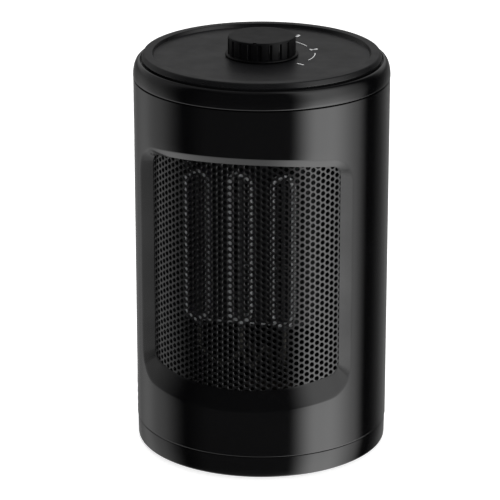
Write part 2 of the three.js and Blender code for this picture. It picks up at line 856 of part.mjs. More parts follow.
const heaterScrewPlaces = [[-1, -1], [1, -1], [1, 1], [-1, 1]].map(([sx, sz]) => [
  sx * (frameHalfWidth - screwInset), elementZ + sz * (frameHalfHeight - screwInset),
]);

function heaterFrame() {
  const plate = new THREE.Shape();
  const [w, h] = [frameHalfWidth, frameHalfHeight];
  plate.setFromPoints([[-w, -h], [w, -h], [w, h], [-w, h]].map(([x, z]) => new THREE.Vector2(x, z)));
  for (const x of Object.values(elementPlaces)) {
    const hole = stadium(elementWidth - 2 * elementWall, elementHeight - 2 * elementWall);
    plate.holes.push(new THREE.Path(hole.getPoints(4).map((p) => new THREE.Vector2(p.x + x, p.y))));
  }
  const holes = heaterScrewPlaces.map(([x, z]) =>
    alongY(discZ(screwRadius + fit, frameFront - 1, frameBack + 1), z).translate(x, 0, 0));
  return cut(upright(plate, frameFront, frameBack, 0, elementZ), ...holes);
}

function heaterScrew(x, z) {
  const seat = frameFront - fit;
  const front = seat - screwHeadHeight;
  return alongY(turnedSolid([
    [0, front], [screwHeadRadius, front], [screwHeadRadius, seat], [screwRadius, seat],
    [screwRadius, front + screwLength], [0, front + screwLength],
  ], smallSteps), z).translate(x, 0, 0);
}

for (const [side, x] of Object.entries(elementPlaces)) {
  part(`ptc_element_${side}`, elementCase(x), aluminium);
  part(`ceramic_strip_${side}`, ceramicStrip(x), ceramic);
}
part("heater_frame", heaterFrame(), moulding);
heaterScrewPlaces.forEach(([x, z], i) => part(`heater_screw_${i + 1}`, heaterScrew(x, z), steel));

// ---------------------------------------------------------------- fan
const bracketScrewPlaces = [45, 135, 225, 315].map((angle) => [
  bracketCircle * Math.cos(radians(angle)), elementZ + bracketCircle * Math.sin(radians(angle)),
]);

// air duct, mounting plate and fan tunnel in one moulding
function fanShroud() {
  const reach = (y) => Math.sqrt(spigotRadius ** 2 - y ** 2);
  const plateHalf = frameHalfHeight + shroudMargin;
  const outline = new THREE.Shape();
  outline.setFromPoints([
    [-reach(plateFront), plateFront], [reach(plateFront), plateFront],
    [reach(plateBack), plateBack], [-reach(plateBack), plateBack],
  ].map(([x, y]) => new THREE.Vector2(x, y)));
  const plate = prism(outline, 2 * plateHalf).translate(0, 0, elementZ - plateHalf);
  const loop = (w, h, y) => [[-w, -h], [w, -h], [w, h], [-w, h]]
    .map(([x, z]) => new THREE.Vector3(x, y, elementZ + z));
  const into = plateFront + shroudPlate / 2;
  const duct = skin([
    loop(frameHalfWidth, frameHalfHeight, ductFront),
    loop(frameHalfWidth - ductWall, frameHalfHeight - ductWall, ductFront),
    loop(tunnelOuter, frameHalfHeight - ductWall, into),
    loop(tunnelOuter + ductWall, frameHalfHeight, into),
  ]);
  const tunnel = alongY(discZ(tunnelOuter, into, tunnelBack, roundSteps), elementZ);
  const bosses = [
    ...heaterScrewPlaces.map(([x, z]) =>
      alongY(discZ(screwInset - fit, ductFront, into), z).translate(x, 0, 0)),
    ...bracketScrewPlaces.map(([x, z]) =>
      alongY(discZ(screwInset - fit, into, tunnelBack), z).translate(x, 0, 0)),
  ];
  const bores = [
    ...heaterScrewPlaces.map(([x, z]) =>
      alongY(discZ(screwRadius + fit, ductFront - 1, ductFront + screwLength), z)
        .translate(x, 0, 0)),
    ...bracketScrewPlaces.map(([x, z]) =>
      alongY(discZ(screwRadius + fit, tunnelBack - screwLength, tunnelBack + 1), z)
        .translate(x, 0, 0)),
  ];
  const mouth = alongY(discZ(tunnelInner, plateFront - 1, tunnelBack + 1, roundSteps), elementZ);
  return cut(joined(plate, duct, tunnel, ...bosses), mouth, ...bores);
}

function motorBracket() {
  const disc = alongY(discZ(bracketDisc, bracketFront, bracketBack, mediumSteps), elementZ);
  const arm = bracketCircle + screwInset;
  const arms = [45, 135].map((angle) =>
    box(-arm, arm, bracketFront, bracketBack, -bracketArm / 2, bracketArm / 2)
      .rotateY(radians(angle)).translate(0, 0, elementZ));
  const holes = bracketScrewPlaces.map(([x, z]) =>
    alongY(discZ(screwRadius + fit, bracketFront - 1, bracketBack + 1), z).translate(x, 0, 0));
  const middle = discZ(motorBossRadius + fit, bracketFront - 1, bracketBack + 1, mediumSteps);
  return cut(joined(disc, ...arms), alongY(middle, elementZ), ...holes);
}

function bracketScrew(x, z) {
  const seat = bracketBack + fit;
  const back = seat + screwHeadHeight;
  return alongY(turnedSolid([
    [0, back - screwLength], [screwRadius, back - screwLength], [screwRadius, seat],
    [screwHeadRadius, seat], [screwHeadRadius, back], [0, back],
  ], smallSteps), z).translate(x, 0, 0);
}

function fanMotor() {
  const bossFront = motorFront - motorBossLength;
  const back = motorFront + motorLength;
  const boreEnd = motorFront + shaftReach + fit;
  return alongY(turnedSolid([
    [0, boreEnd], [spindleRadius + fit, boreEnd], [spindleRadius + fit, bossFront],
    [motorBossRadius, bossFront], [motorBossRadius, motorFront],
    [motorRadius - motorEdge, motorFront], [motorRadius, motorFront + motorEdge],
    [motorRadius, back - motorEdge], [motorRadius - motorEdge, back], [0, back],
  ], mediumSteps), elementZ);
}

function motorShaft() {
  const front = hubFront - 2 * fit - clipThickness;
  return alongY(discZ(spindleRadius, front, motorFront + shaftReach, mediumSteps), elementZ);
}

function blade(angle) {
  const stations = 4;
  const rootAt = hubRadius - 1;
  const middle = (hubFront + hubBack) / 2;
  const sections = Array.from({ length: stations }, (_, i) => {
    const t = i / (stations - 1);
    const r = rootAt + (fanRadius - rootAt) * t;
    const pitch = radians(bladeRootPitch + (bladeTipPitch - bladeRootPitch) * t);
    const chord = bladeRootChord + (bladeTipChord - bladeRootChord) * t;
    const camber = chord * bladeCamber;
    const section = [[-0.5, -0.5], [0, -0.5], [0.5, -0.5], [0.5, 0.5], [0, 0.5], [-0.5, 0.5]];
    return section.map(([u, v]) => {
      const along = u * chord;
      const off = v * bladeThickness + (u === 0 ? camber : 0);
      const swing = along * Math.cos(pitch) - off * Math.sin(pitch);
      const axial = along * Math.sin(pitch) + off * Math.cos(pitch);
      const sweep = swing / r;
      return new THREE.Vector3(r * Math.sin(sweep), middle + axial, r * Math.cos(sweep));
    });
  });
  return loft(sections).rotateY(radians(angle));
}

function fanImpeller() {
  const hub = alongY(turned([
    [spindleRadius + fit, hubFront], [hubRadius - hubChamfer, hubFront],
    [hubRadius, hubFront + hubChamfer], [hubRadius, hubBack], [spindleRadius + fit, hubBack],
  ], mediumSteps));
  const blades = Array.from({ length: bladeCount }, (_, i) => blade((360 * i) / bladeCount));
  return joined(hub, ...blades).translate(0, 0, elementZ);
}

function fanClip() {
  const back = hubFront - fit;
  return alongY(tubeZ(spindleRadius + fit, clipRadius, back - clipThickness, back), elementZ);
}

part("fan_shroud", fanShroud(), moulding);
part("motor_bracket", motorBracket(), steel);
bracketScrewPlaces.forEach(([x, z], i) => part(`bracket_screw_${i + 1}`, bracketScrew(x, z), steel));
part("fan_motor", fanMotor(), steel);
part("motor_shaft", motorShaft(), steel);
part("fan_impeller", fanImpeller(), fanPlastic);
part("fan_clip", fanClip(), steel);

// ---------------------------------------------------------------- tip-over switch
const flangeBottom = floorTop + fit + plungerTravel;
const flangeTop = flangeBottom + plungerFlangeThickness;
const tipSwitchBottom = flangeTop + springRoom;

class Helix extends THREE.Curve {
  constructor(radius, z0, z1, turns) {
    super();
    Object.assign(this, { radius, z0, z1, turns });
  }

  getPoint(t) {
    const a = 2 * Math.PI * this.turns * t;
    return new THREE.Vector3(
      this.radius * Math.cos(a), this.radius * Math.sin(a), this.z0 + (this.z1 - this.z0) * t);
  }
}

function tipPlunger() {
  const stemTop = tipSwitchBottom - fit;
  return turnedSolid([
    [0, 0], [plungerRadius - edgeChamfer, 0], [plungerRadius, edgeChamfer],
    [plungerRadius, flangeBottom], [plungerFlange, flangeBottom], [plungerFlange, flangeTop],
    [plungerRadius, flangeTop], [plungerRadius, stemTop], [0, stemTop],
  ], mediumSteps).translate(0, plungerSide, 0);
}

function tipSpring() {
  const radius = plungerRadius + springWire + 2 * fit;
  const end = fit + springWire;
  const path = new Helix(radius, flangeTop + end, tipSwitchBottom - end, springTurns);
  return new THREE.ExtrudeGeometry(polygon(springWire, springSides), {
    steps: Math.round(springTurns * springTurnSteps), bevelEnabled: false, extrudePath: path,
  }).translate(0, plungerSide, 0);
}

function tipSwitch() {
  const [w, d] = [tipSwitchWidth / 2, tipSwitchDepth / 2];
  const body = box(-w, w, -d, d, tipSwitchBottom, tipSwitchBottom + tipSwitchHeight);
  const legs = [-w, w - tipLeg].map((x) =>
    box(x, x + tipLeg, -d, d, floorTop + fit, tipSwitchBottom + 1));
  const top = tipSwitchBottom + tipSwitchHeight;
  const tabs = [-0.5, 0.5].map((i) => terminalTab(i * tipTabPitch, 0, top - 1, top + tabLength));
  return joined(body, ...legs, ...tabs).translate(0, plungerSide, 0);
}

part("tip_plunger", tipPlunger(), switchPlastic);
part("tip_spring", tipSpring(), steel);
part("tip_switch", tipSwitch(), switchPlastic);

// ---------------------------------------------------------------- cut-out, block and leads
function thermalCutout() {
  const low = elementZ + frameHalfHeight + fit;
  const top = low + cutoutPlate + cutoutHeight;
  const y = (ductFront + plateFront) / 2;
  const half = cutoutRadius + cutoutEar;
  const depth = (plateFront - ductFront) / 2 - cutoutPlate;
  const flange = box(-half, half, y - depth, y + depth, low, low + cutoutPlate);
  const cup = discZ(cutoutRadius, low + cutoutPlate / 2, top, mediumSteps).translate(0, y, 0);
  const tabs = [-0.5, 0.5].map((i) => terminalTab(i * cutoutTabPitch, y, top - 1, top + tabLength));
  return joined(flange, cup, ...tabs);
}

const blockTop = floorTop + fit + blockHeight;

function terminalBlock() {
  const half = blockLength / 2;
  const body = box(-half, half, blockBack - blockDepth / 2, blockBack + blockDepth / 2,
    floorTop + fit, blockTop);
  const sockets = [-1, 0, 1].map((i) =>
    discZ(leadRadius + fit, blockTop - leadSocket, blockTop + 1)
      .translate(i * blockPitch, blockBack, 0));
  return cut(body, ...sockets);
}

// sleeved lead from an element's tab, under the duct, down into the terminal block
function lead(x, slot) {
  const bx = slot * blockPitch;
  const run = (tabBottom + blockTop) / 2;
  const path = new THREE.CatmullRomCurve3([
    new THREE.Vector3(x, elementMiddle, tabBottom - fit),
    new THREE.Vector3(x, elementMiddle, tabBottom - 12),
    new THREE.Vector3((x + bx) / 2, elementMiddle / 2, run),
    new THREE.Vector3(bx, blockBack - 14, run - 3),
    new THREE.Vector3(bx, blockBack, blockTop + 8),
    new THREE.Vector3(bx, blockBack, blockTop - leadSocket + fit),
  ]);
  return new THREE.ExtrudeGeometry(polygon(leadRadius, leadSides), {
    steps: leadSteps, bevelEnabled: false, extrudePath: path,
  });
}

part("thermal_cutout", thermalCutout(), steel);
part("terminal_block", terminalBlock(), switchPlastic);
Object.entries(elementPlaces).forEach(([side, x], i) =>
  part(`lead_${side}`, lead(x, i - 1), leadSleeve));

export default heater;
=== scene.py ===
"""Looks of a small upright ceramic heater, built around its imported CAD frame."""
import math

import bmesh
import bpy
from mathutils import Matrix, Vector


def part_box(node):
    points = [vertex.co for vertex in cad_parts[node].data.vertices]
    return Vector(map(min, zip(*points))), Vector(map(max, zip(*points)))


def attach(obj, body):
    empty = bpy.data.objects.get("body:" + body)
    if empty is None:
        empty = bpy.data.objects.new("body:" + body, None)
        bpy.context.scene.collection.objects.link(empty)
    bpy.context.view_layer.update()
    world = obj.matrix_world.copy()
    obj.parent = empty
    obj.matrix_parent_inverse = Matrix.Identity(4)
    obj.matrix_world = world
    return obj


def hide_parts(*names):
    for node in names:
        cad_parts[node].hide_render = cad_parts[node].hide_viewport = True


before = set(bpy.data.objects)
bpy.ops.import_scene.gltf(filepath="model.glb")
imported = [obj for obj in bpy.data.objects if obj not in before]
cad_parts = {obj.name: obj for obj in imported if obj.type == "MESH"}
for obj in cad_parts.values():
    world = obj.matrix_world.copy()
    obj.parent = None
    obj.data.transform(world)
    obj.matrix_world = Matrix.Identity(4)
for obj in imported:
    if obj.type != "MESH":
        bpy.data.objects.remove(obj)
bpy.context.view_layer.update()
scene = bpy.context.scene
scene.view_settings.view_transform = "Standard"

MM = 0.001


# ---------------- sizes, in millimetres
def low(node):
    """Lowest corner of a CAD node, in millimetres."""
    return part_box(node)[0] / MM


def high(node):
    """Highest corner of a CAD node, in millimetres."""
    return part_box(node)[1] / MM


FIT = 0.3  # clearance between pieces that seat in each other
ROUND_STEPS = 192  # sides of the large round pieces
SMALL_STEPS = 48  # sides of feet, bushes and screws

BODY_RADIUS = 75.0
SHELL_WALL = 2.2
SHELL_INNER = BODY_RADIUS - SHELL_WALL
SHELL_LOW = low("front_shell").z
SHELL_HIGH = high("front_shell").z
SHELL_SEAM = 105.0  # degrees from the front
SEAM_GROOVE = 0.3
SEAM_DEPTH = 0.9
SHELL_EDGE = 0.8  # rounding of the shells' lower and upright edges
UPPER_EDGE = 0.25  # rounding of the edges that face up at a seam

WINDOW_HALF = 57.5  # degrees
WINDOW_Z = (SHELL_LOW + 28.5, SHELL_LOW + 181.9)
WINDOW_CORNER = 16.0
WINDOW_BOW = 6.0
OPENING_HALF = WINDOW_HALF - math.degrees(4.8 / BODY_RADIUS)
OPENING_Z = (WINDOW_Z[0] + 10.6, WINDOW_Z[1] - 5.4)
LIP_CORNER = 6.0
LIP_RADIUS = BODY_RADIUS - 6.4
LIP_DEPTH = 0.05
FLOW_SHARE = 0.7  # how much of the surround's tilt its shading keeps
SIDE_LOSS = 0.75  # how much less of it at the very sides
CORNER_SHARE = 0.85  # how far its corners lean back to their own facing
LEAST_FACING = (0.2, 0.5)  # how far out a face must look to be shaded so, right and left
RIM_SOFTNESS = 0.5  # how far the rounded edge of the window reaches each way

GRILLE_OUTER = -low("front_grille").y
GRILLE_THICKNESS = 0.9
HOLE_PITCH = 3.7  # centre to centre of neighbouring holes
HOLE_RADIUS = 1.25
HOLE_ROLL = 0.22  # how far the punch rolls the edge of a hole inwards
COLUMN_PITCH = HOLE_PITCH * math.sin(math.radians(60))

RING_RADIUS = high("top_ring").x
RING_HIGH = high("top_ring").z
RING_LOW = low("top_ring").z
PANEL_RADIUS = high("control_panel").x
PANEL_HIGH = high("control_panel").z
PANEL_FLOOR = PANEL_HIGH - 2.1
PANEL_RIM_INNER = PANEL_RADIUS - 6.4
LEDGE_HIGH = RING_HIGH - 5.5  # seat of the lid in the ring

KNOB_LOW = low("knob").z
KNOB_HIGH = high("knob").z
KNOB_RADIUS = 19.9
KNOB_SKIRT = high("knob").x
KNOB_FLUTES = 20

BASE_LOW = low("base_cup").z
BASE_RADIUS = high("base_cup").x

INLET_HIGH = SHELL_LOW + 17  # centre of the cord inlet
INLET_RADIUS = 6.0
INLET_BORE = 3.4

# ---------------- camera
CAMERA_TURN = 12.6  # degrees from the front towards +X
CAMERA_REACH = 1.6  # metres from the heater's axis
CAMERA_HEIGHT = 0.6759
CAMERA_TILT = 19.27
CAMERA_PAN = 0.245
LENS = 204.7


def towards(turn, reach=1.0, height=0.0):
    """Point at an angle from the front towards +X, a distance from the axis and a height."""
    angle = math.radians(turn)
    return Vector((reach * math.sin(angle), -reach * math.cos(angle), height))


camera_data = bpy.data.cameras.new("camera")
camera_data.lens = LENS
camera_data.sensor_width = 36.0
camera_data.clip_start = 0.1
camera = bpy.data.objects.new("camera", camera_data)
camera.location = towards(CAMERA_TURN, CAMERA_REACH, CAMERA_HEIGHT)
camera.rotation_euler = (
    math.radians(90 - CAMERA_TILT), 0, math.radians(CAMERA_TURN + CAMERA_PAN))
scene.collection.objects.link(camera)
scene.camera = camera


# ---------------- nodes and colours
def linear(code):
    """Linear colour of an sRGB hex code such as "1a1b1c"."""
    parts = [int(code[i:i + 2], 16) / 255 for i in (0, 2, 4)]
    return tuple(p / 12.92 if p <= 0.04045 else ((p + 0.055) / 1.055) ** 2.4
                 for p in parts) + (1.0,)


def add(tree, kind, inputs=(), **settings):
    """Adds a node. Its inputs go by name or in order, and each is a plain value, a socket to
    link from, or a node whose first output is meant."""
    node = tree.nodes.new(kind)
    for name, value in settings.items():
        setattr(node, name, value)
    for name, value in inputs.items() if isinstance(inputs, dict) else enumerate(inputs):
        if isinstance(value, bpy.types.Node):
            value = value.outputs[0]
        if isinstance(value, bpy.types.NodeSocket):
            tree.links.new(value, node.inputs[name])
        else:
            node.inputs[name].default_value = value
    return node


def finish(name, dark, light, roughness, spread=0.04, metallic=0.0, ior=1.5, mottle=9.0,
           grain=0.0, height=0.0, stretch=(1, 1, 1), detail=2.0, side_polish=0.0,
           polished_within=None):
    """Material whose colour drifts between two tones and whose grain is a real size.

    mottle and grain are in millimetres, and height is how high the grain stands. side_polish
    is how much smoother upright faces are than level ones, within a radius if one is given.
    """
    material = bpy.data.materials.new(name)
    material.use_nodes = True
    tree = material.node_tree
    tree.nodes.clear()
    place = add(tree, "ShaderNodeTexCoord").outputs["Object"]
    drift = add(tree, "ShaderNodeTexNoise", {
        "Vector": place, "Scale": 1 / (mottle * MM), "Detail": 3.0, "Roughness": 0.55})
    colour = add(tree, "ShaderNodeMix", {
        "Factor": drift, 6: linear(dark), 7: linear(light)}, data_type="RGBA")
    polish = add(tree, "ShaderNodeMapRange", {
        "Value": drift, "From Min": 0.25, "From Max": 0.75,
        "To Min": roughness - spread, "To Max": roughness + spread})
    if side_polish:
        facing = add(tree, "ShaderNodeSeparateXYZ", {
            "Vector": add(tree, "ShaderNodeTexCoord").outputs["Normal"]}).outputs["Z"]
        smoother = add(tree, "ShaderNodeMapRange", {
            "Value": facing, "From Min": 0.15, "From Max": 0.8, "To Min": side_polish,
            "To Max": 0.0})
        if polished_within:
            flat = add(tree, "ShaderNodeVectorMath", (place, (1, 1, 0)), operation="MULTIPLY")
            reach = add(tree, "ShaderNodeVectorMath", (flat,), operation="LENGTH")
            inside = add(tree, "ShaderNodeMapRange", {
                "Value": reach.outputs["Value"], "From Min": (polished_within - 0.15) * MM,
                "From Max": polished_within * MM, "To Min": 1.0, "To Max": 0.0})
            smoother = add(tree, "ShaderNodeMath", (smoother, inside), operation="MULTIPLY")
        polish = add(tree, "ShaderNodeMath", (polish, smoother), operation="SUBTRACT")
    surface = add(tree, "ShaderNodeBsdfPrincipled", {
        "Base Color": colour.outputs[2], "Roughness": polish, "Metallic": metallic})
    if metallic < 0.5:
        surface.inputs["IOR"].default_value = ior
    if grain:
        run = add(tree, "ShaderNodeMapping", {"Vector": place, "Scale": stretch})
        texture = add(tree, "ShaderNodeTexNoise", {
            "Vector": run, "Scale": 1 / (grain * MM), "Detail": detail, "Roughness": 0.6})
        bump = add(tree, "ShaderNodeBump", {
            "Height": texture, "Strength": 1.0, "Distance": height * MM})
        tree.links.new(bump.outputs["Normal"], surface.inputs["Normal"])
    add(tree, "ShaderNodeOutputMaterial", {"Surface": surface})
    return material


# High-gloss injection-moulded ABS: deep black, mirror-like, with the long soft ripple of a
# polished mould.
gloss_abs = finish("gloss_moulded_abs", "060607", "09090a", 0.09, spread=0.025, ior=1.5,
                   mottle=30, grain=24, height=0.006, detail=1.0)
# Spark-eroded ABS: dark grey and matt, its fine pits spread the light evenly. The mould drags
# them smooth on upright faces, which look deeper.
matt_abs = finish("spark_eroded_abs", "111112", "161617", 0.42, spread=0.05, ior=1.4, mottle=14,
                  grain=0.55, height=0.012, detail=3.0, side_polish=0.24)
# Moulded ABS of the knob: finely pitted and dull black, with smooth grooves that glint.
knob_abs = finish("satin_moulded_abs", "070708", "0b0b0c", 0.46, spread=0.04, ior=1.3, mottle=8,
                  grain=0.4, height=0.006, detail=2.0, side_polish=0.3,
                  polished_within=KNOB_RADIUS - 0.45)
# Powder-coated perforated steel: black with a fine orange peel.
coated_steel = finish("powder_coated_steel", "0b0b0c", "121213", 0.17, spread=0.03, mottle=5,
                      grain=0.8, height=0.01)
# Pad-printed ink: flat white, slightly thin in places.
printed_ink = finish("pad_printed_ink", "c9cacb", "f2f2f2", 0.5, mottle=1.2)
# Moulded rubber of the feet: dull, faintly dusty.
rubber = finish("moulded_rubber", "141414", "1f1f1f", 0.8, mottle=3, grain=0.5, height=0.02)
# Rolled aluminium strip: bright, with fine lines along the strip.
aluminium = finish("rolled_aluminium", "8f9296", "a9acb0", 0.4, spread=0.07, metallic=1.0,
                   mottle=6, grain=0.35, height=0.006, stretch=(1, 1, 0.06))
# Blasted aluminium of the elements' rolled rims: pale silver that spreads the light.
blasted_aluminium = finish("blasted_aluminium", "c4c6c9", "dcdddf", 0.5, spread=0.06,
                           metallic=0.25, mottle=4, grain=0.3, height=0.01)
# Aluminium of the fins, coloured near black as painted shade for the dark duct behind the grille,
# with a dull metal glint.
shaded_fin_aluminium = finish("shaded_fin_aluminium", "17171a", "252628", 0.5, spread=0.08,
                            metallic=0.6, mottle=3, grain=0.3, height=0.006)
# Sintered barium titanate ceramic: dull grey, finely granular.
ceramic = finish("sintered_ceramic", "37383a", "4a4b4d", 0.75, mottle=1.5, grain=0.3, height=0.01)
# Glass-filled nylon of the hot inner mouldings: matt black with short fibre marks.
nylon = finish("glass_filled_nylon", "0c0c0d", "151516", 0.55, mottle=4, grain=0.6, height=0.015,
               stretch=(1, 0.3, 1))
# Zinc-plated steel: cool grey, blotchy from the plating bath.
zinc_steel = finish("zinc_plated_steel", "84868a", "a9abae", 0.34, spread=0.1, metallic=1.0,
                    mottle=2.5, grain=0.5, height=0.004)
# Drawn spring wire: bright steel with marks along the wire.
spring_wire = finish("drawn_spring_wire", "8f9194", "b2b4b6", 0.3, metallic=1.0, mottle=1.5,
                     grain=0.25, height=0.003)
# Polypropylene fan: dark grey, waxy.
fan_plastic = finish("moulded_polypropylene", "1c1e20", "26282b", 0.4, mottle=10, grain=0.7,
                     height=0.006)
# Phenolic switch body: brown-black, hard and slightly shiny.
phenolic = finish("moulded_phenolic", "1d1917", "2a2522", 0.36, mottle=3, grain=0.5, height=0.006)
# Silicone-coated glass braid of the hot leads: smoke grey with the braid's ridges.
braid = finish("braided_glass_sleeve", "4b4a46", "66645e", 0.6, mottle=1.0, grain=0.45,
               height=0.05, stretch=(1, 1, 0.5))


# ---------------- meshes
def mesh_of(name, points, faces, sharp=32.0):
    """Closed mesh from points in millimetres, faces outwards, smooth but for sharp edges."""
    mesh = bpy.data.meshes.new(name)
    mesh.from_pydata([tuple(c * MM for c in p) for p in points], [], faces)
    return settled(mesh, sharp)


def smooth(mesh, sharp=32.0):
    """Smooth shading, but for edges that turn more than an angle."""
    mesh.shade_smooth()
    mesh.set_sharp_from_angle(angle=math.radians(sharp))
    return mesh


def settled(mesh, sharp=32.0):
    """Merges doubles, turns the faces outwards and sets smooth shading with sharp edges."""
    work = bmesh.new()
    work.from_mesh(mesh)
    bmesh.ops.remove_doubles(work, verts=work.verts, dist=0.002 * MM)
    bmesh.ops.recalc_face_normals(work, faces=work.faces)
    work.to_mesh(mesh)
    work.free()
    return smooth(mesh, sharp)


def evaluated(holder):
    """Plain mesh of an object with its modifiers; the object is removed."""
    graph = bpy.context.evaluated_depsgraph_get()
    mesh = bpy.data.meshes.new_from_object(holder.evaluated_get(graph), depsgraph=graph)
    bpy.data.objects.remove(holder)
    return mesh


def holder_of(mesh):
    holder = bpy.data.objects.new("holder", mesh)
    scene.collection.objects.link(holder)
    return holder


def carved(mesh, *cutters):
    """What is left of a mesh after the cutter meshes are taken away."""
    holder = holder_of(mesh)
    tools = [holder_of(cutter) for cutter in cutters]
    for tool in tools:
        modifier = holder.modifiers.new("cut", "BOOLEAN")
        modifier.operation = "DIFFERENCE"
        modifier.solver = "EXACT"
        modifier.object = tool
    result = evaluated(holder)
    for tool in tools:
        bpy.data.objects.remove(tool)
    return settled(result)


def flowed(vertex, share, half):
    """Facing of a point of the surround that lets reflections flow on over it.

    It is the cylinder's facing with a share of the point's tilt up or down, less of it towards
    the sides. In the left-hand corners, in view of their own wall, it leans back to its own.
    """
    across = Vector((*vertex.co.xy, 0)).normalized()
    aside = math.acos(min(1, across.dot(towards(0)))) / math.radians(half)
    aside = min(1, aside) ** 5
    tilt = share * (1 - SIDE_LOSS * aside) * vertex.normal.z
    flowing = across * math.sqrt(1 - tilt ** 2) + Vector((0, 0, tilt))
    lean = CORNER_SHARE * aside * abs(vertex.normal.z) if across.x < 0 else 0
    return tuple(flowing.lerp(vertex.normal, lean))


def true_round(mesh, *radii, flow=None):
    """Exact cylinder normals where a face lies on one of the radii, so reflections run true.

    flow is (share, inner radius, half angle, low z, high z) of a zone whose outward faces
    inside the first radius are shaded as one with the cylinder.
    """
    share, flow_radius, flow_half, flow_low, flow_high = flow or (0, math.inf, 0, 0, 0)
    vectors = [(0.0, 0.0, 0.0)] * len(mesh.loops)
    for face in mesh.polygons:
        flat = Vector((face.normal.x, face.normal.y, 0))
        out = Vector((face.center.x, face.center.y, 0))
        corners = [(loop, mesh.vertices[mesh.loops[loop].vertex_index])
                   for loop in face.loop_indices]
        if flow_radius * MM < out.length < (radii[0] - 0.005) * MM \
                and flow_low * MM < face.center.z < flow_high * MM \
                and out.normalized().dot(towards(0)) > math.cos(math.radians(flow_half)) \
                and face.normal.dot(out) > LEAST_FACING[out.x < 0] * out.length:
            for loop, vertex in corners:
                vectors[loop] = flowed(vertex, share, flow_half)
        elif flat.length >= 0.97 and abs(flat.normalized().dot(out.normalized())) >= 0.97:
            side = 1 if flat.dot(out) > 0 else -1
            for loop, vertex in corners:
                across = Vector((*vertex.co.xy, 0))
                if any(abs(across.length - radius * MM) < 0.06 * MM for radius in radii):
                    vectors[loop] = tuple(across.normalized() * side)
    mesh.normals_split_custom_set(vectors)
    return mesh


def true_level(mesh):
    """Exact normals on level faces, so a wide flat one stays flat to the light."""
    vectors = [(0.0, 0.0, 0.0)] * len(mesh.loops)
    for face in mesh.polygons:
        if abs(face.normal.z) > 0.9999:
            for loop in face.loop_indices:
                vectors[loop] = tuple(face.normal)
    mesh.normals_split_custom_set(vectors)
    return mesh


def rounded(profile, steps=5):
    """Closed outline of (radius, z) pairs; a third number rounds that corner by so much."""
    outline = []
    for i, (r, z, *fillet) in enumerate(profile):
        corner = Vector((r, z))
        if not fillet:
            outline.append((r, z))
            continue
        before = Vector(profile[i - 1][:2]) - corner
        after = Vector(profile[(i + 1) % len(profile)][:2]) - corner
        before, after = before.normalized(), after.normalized()
        half = before.angle(after) / 2
        centre = corner + (before + after).normalized() * fillet[0] / math.sin(half)
        start = corner + before * fillet[0] / math.tan(half) - centre
        end = corner + after * fillet[0] / math.tan(half) - centre
        turn = start.angle_signed(end)
        for k in range(steps + 1):
            point = Matrix.Rotation(-turn * k / steps, 2) @ start + centre
            outline.append((point.x, point.y))
    return outline


def turned(name, profile, steps=ROUND_STEPS, sharp=32.0, relief=None):
    """Solid of revolution of a closed outline; points on the axis become poles.

    A point with a third entry lies relief(step) further in at each step round the axis.
    """
    points, rings = [], []
    for r, z, *carved_in in profile:
        if r < 1e-6:
            rings.append([len(points)] * steps)
            points.append((0, 0, z))
        else:
            rings.append([len(points) + k for k in range(steps)])
            points += [(*towards(360 * k / steps, r - relief(k) if carved_in else r).xy, z)
                       for k in range(steps)]
    faces = []
    for i, ring in enumerate(rings):
        after = rings[(i + 1) % len(rings)]
        for k in range(steps):
            corners = [ring[k], ring[(k + 1) % steps], after[(k + 1) % steps], after[k]]
            corners = list(dict.fromkeys(corners))
            if len(corners) > 2:
                faces.append(corners)
    return mesh_of(name, points, faces, sharp)


def rod(radius, start, end, steps=24):
    """Cylinder on the axis."""
    return turned("rod", [(0, start), (radius, start), (radius, end), (0, end)], steps)


def block(across, deep, tall):
    """Box centred on the origin."""
    mesh = bpy.data.meshes.new("block")
    work = bmesh.new()
    bmesh.ops.create_cube(work, size=1.0,
                          matrix=Matrix.Diagonal((across * MM, deep * MM, tall * MM, 1)))
    work.to_mesh(mesh)
    work.free()
    return mesh


def lofted(name, sections, closed=False, sharp=32.0):
    """Skin through sections of equally many points; its ends are capped unless it is closed."""
    count, last = len(sections[0]), len(sections) - 1
    points = [point for section in sections for point in section]
    faces = []
    for i in range(last + 1 if closed else last):
        near, far = i * count, (i + 1) % (last + 1) * count
        faces += [(near + k, near + (k + 1) % count, far + (k + 1) % count, far + k)
                  for k in range(count)]
    if not closed:
        faces += [tuple(range(count)), tuple(last * count + k for k in range(count))]
    return mesh_of(name, points, faces, sharp)


def shifted(mesh, x, y, z):
    """The mesh after a move in millimetres."""
    mesh.transform(Matrix.Translation(Vector((x, y, z)) * MM))
    return mesh


def piece(name, mesh, material, body, slot, *nodes):
    """Shows a finished mesh as a piece that rides on a body and stands for CAD nodes."""
    mesh.name = name
    mesh.materials.clear()
    mesh.materials.append(material)
    thing = bpy.data.objects.new(name, mesh)
    scene.collection.objects.link(thing)
    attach(thing, body)
    if nodes:
        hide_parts(*nodes)
    return thing


def joined(*meshes):
    """One mesh of several that touch or lie apart."""
    work = bmesh.new()
    for mesh in meshes:
        work.from_mesh(mesh)
    mesh = bpy.data.meshes.new("joined")
    work.to_mesh(mesh)
    work.free()
    return smooth(mesh)


# ---------------- node trees that repeat a shape
def new_tree(name, **sizes):
    """Geometry tree with a geometry in and out and one named number for each size."""
    tree = bpy.data.node_groups.new(name, "GeometryNodeTree")
    tree.interface.new_socket("Geometry", in_out="INPUT", socket_type="NodeSocketGeometry")
    tree.interface.new_socket("Geometry", in_out="OUTPUT", socket_type="NodeSocketGeometry")
    for label, default in sizes.items():
        kind = "NodeSocketInt" if isinstance(default, int) else "NodeSocketFloat"
        tree.interface.new_socket(
            label, in_out="INPUT", socket_type=kind).default_value = default
    tree.interface.new_socket("Material", in_out="INPUT", socket_type="NodeSocketMaterial")
    return tree, add(tree, "NodeGroupInput").outputs


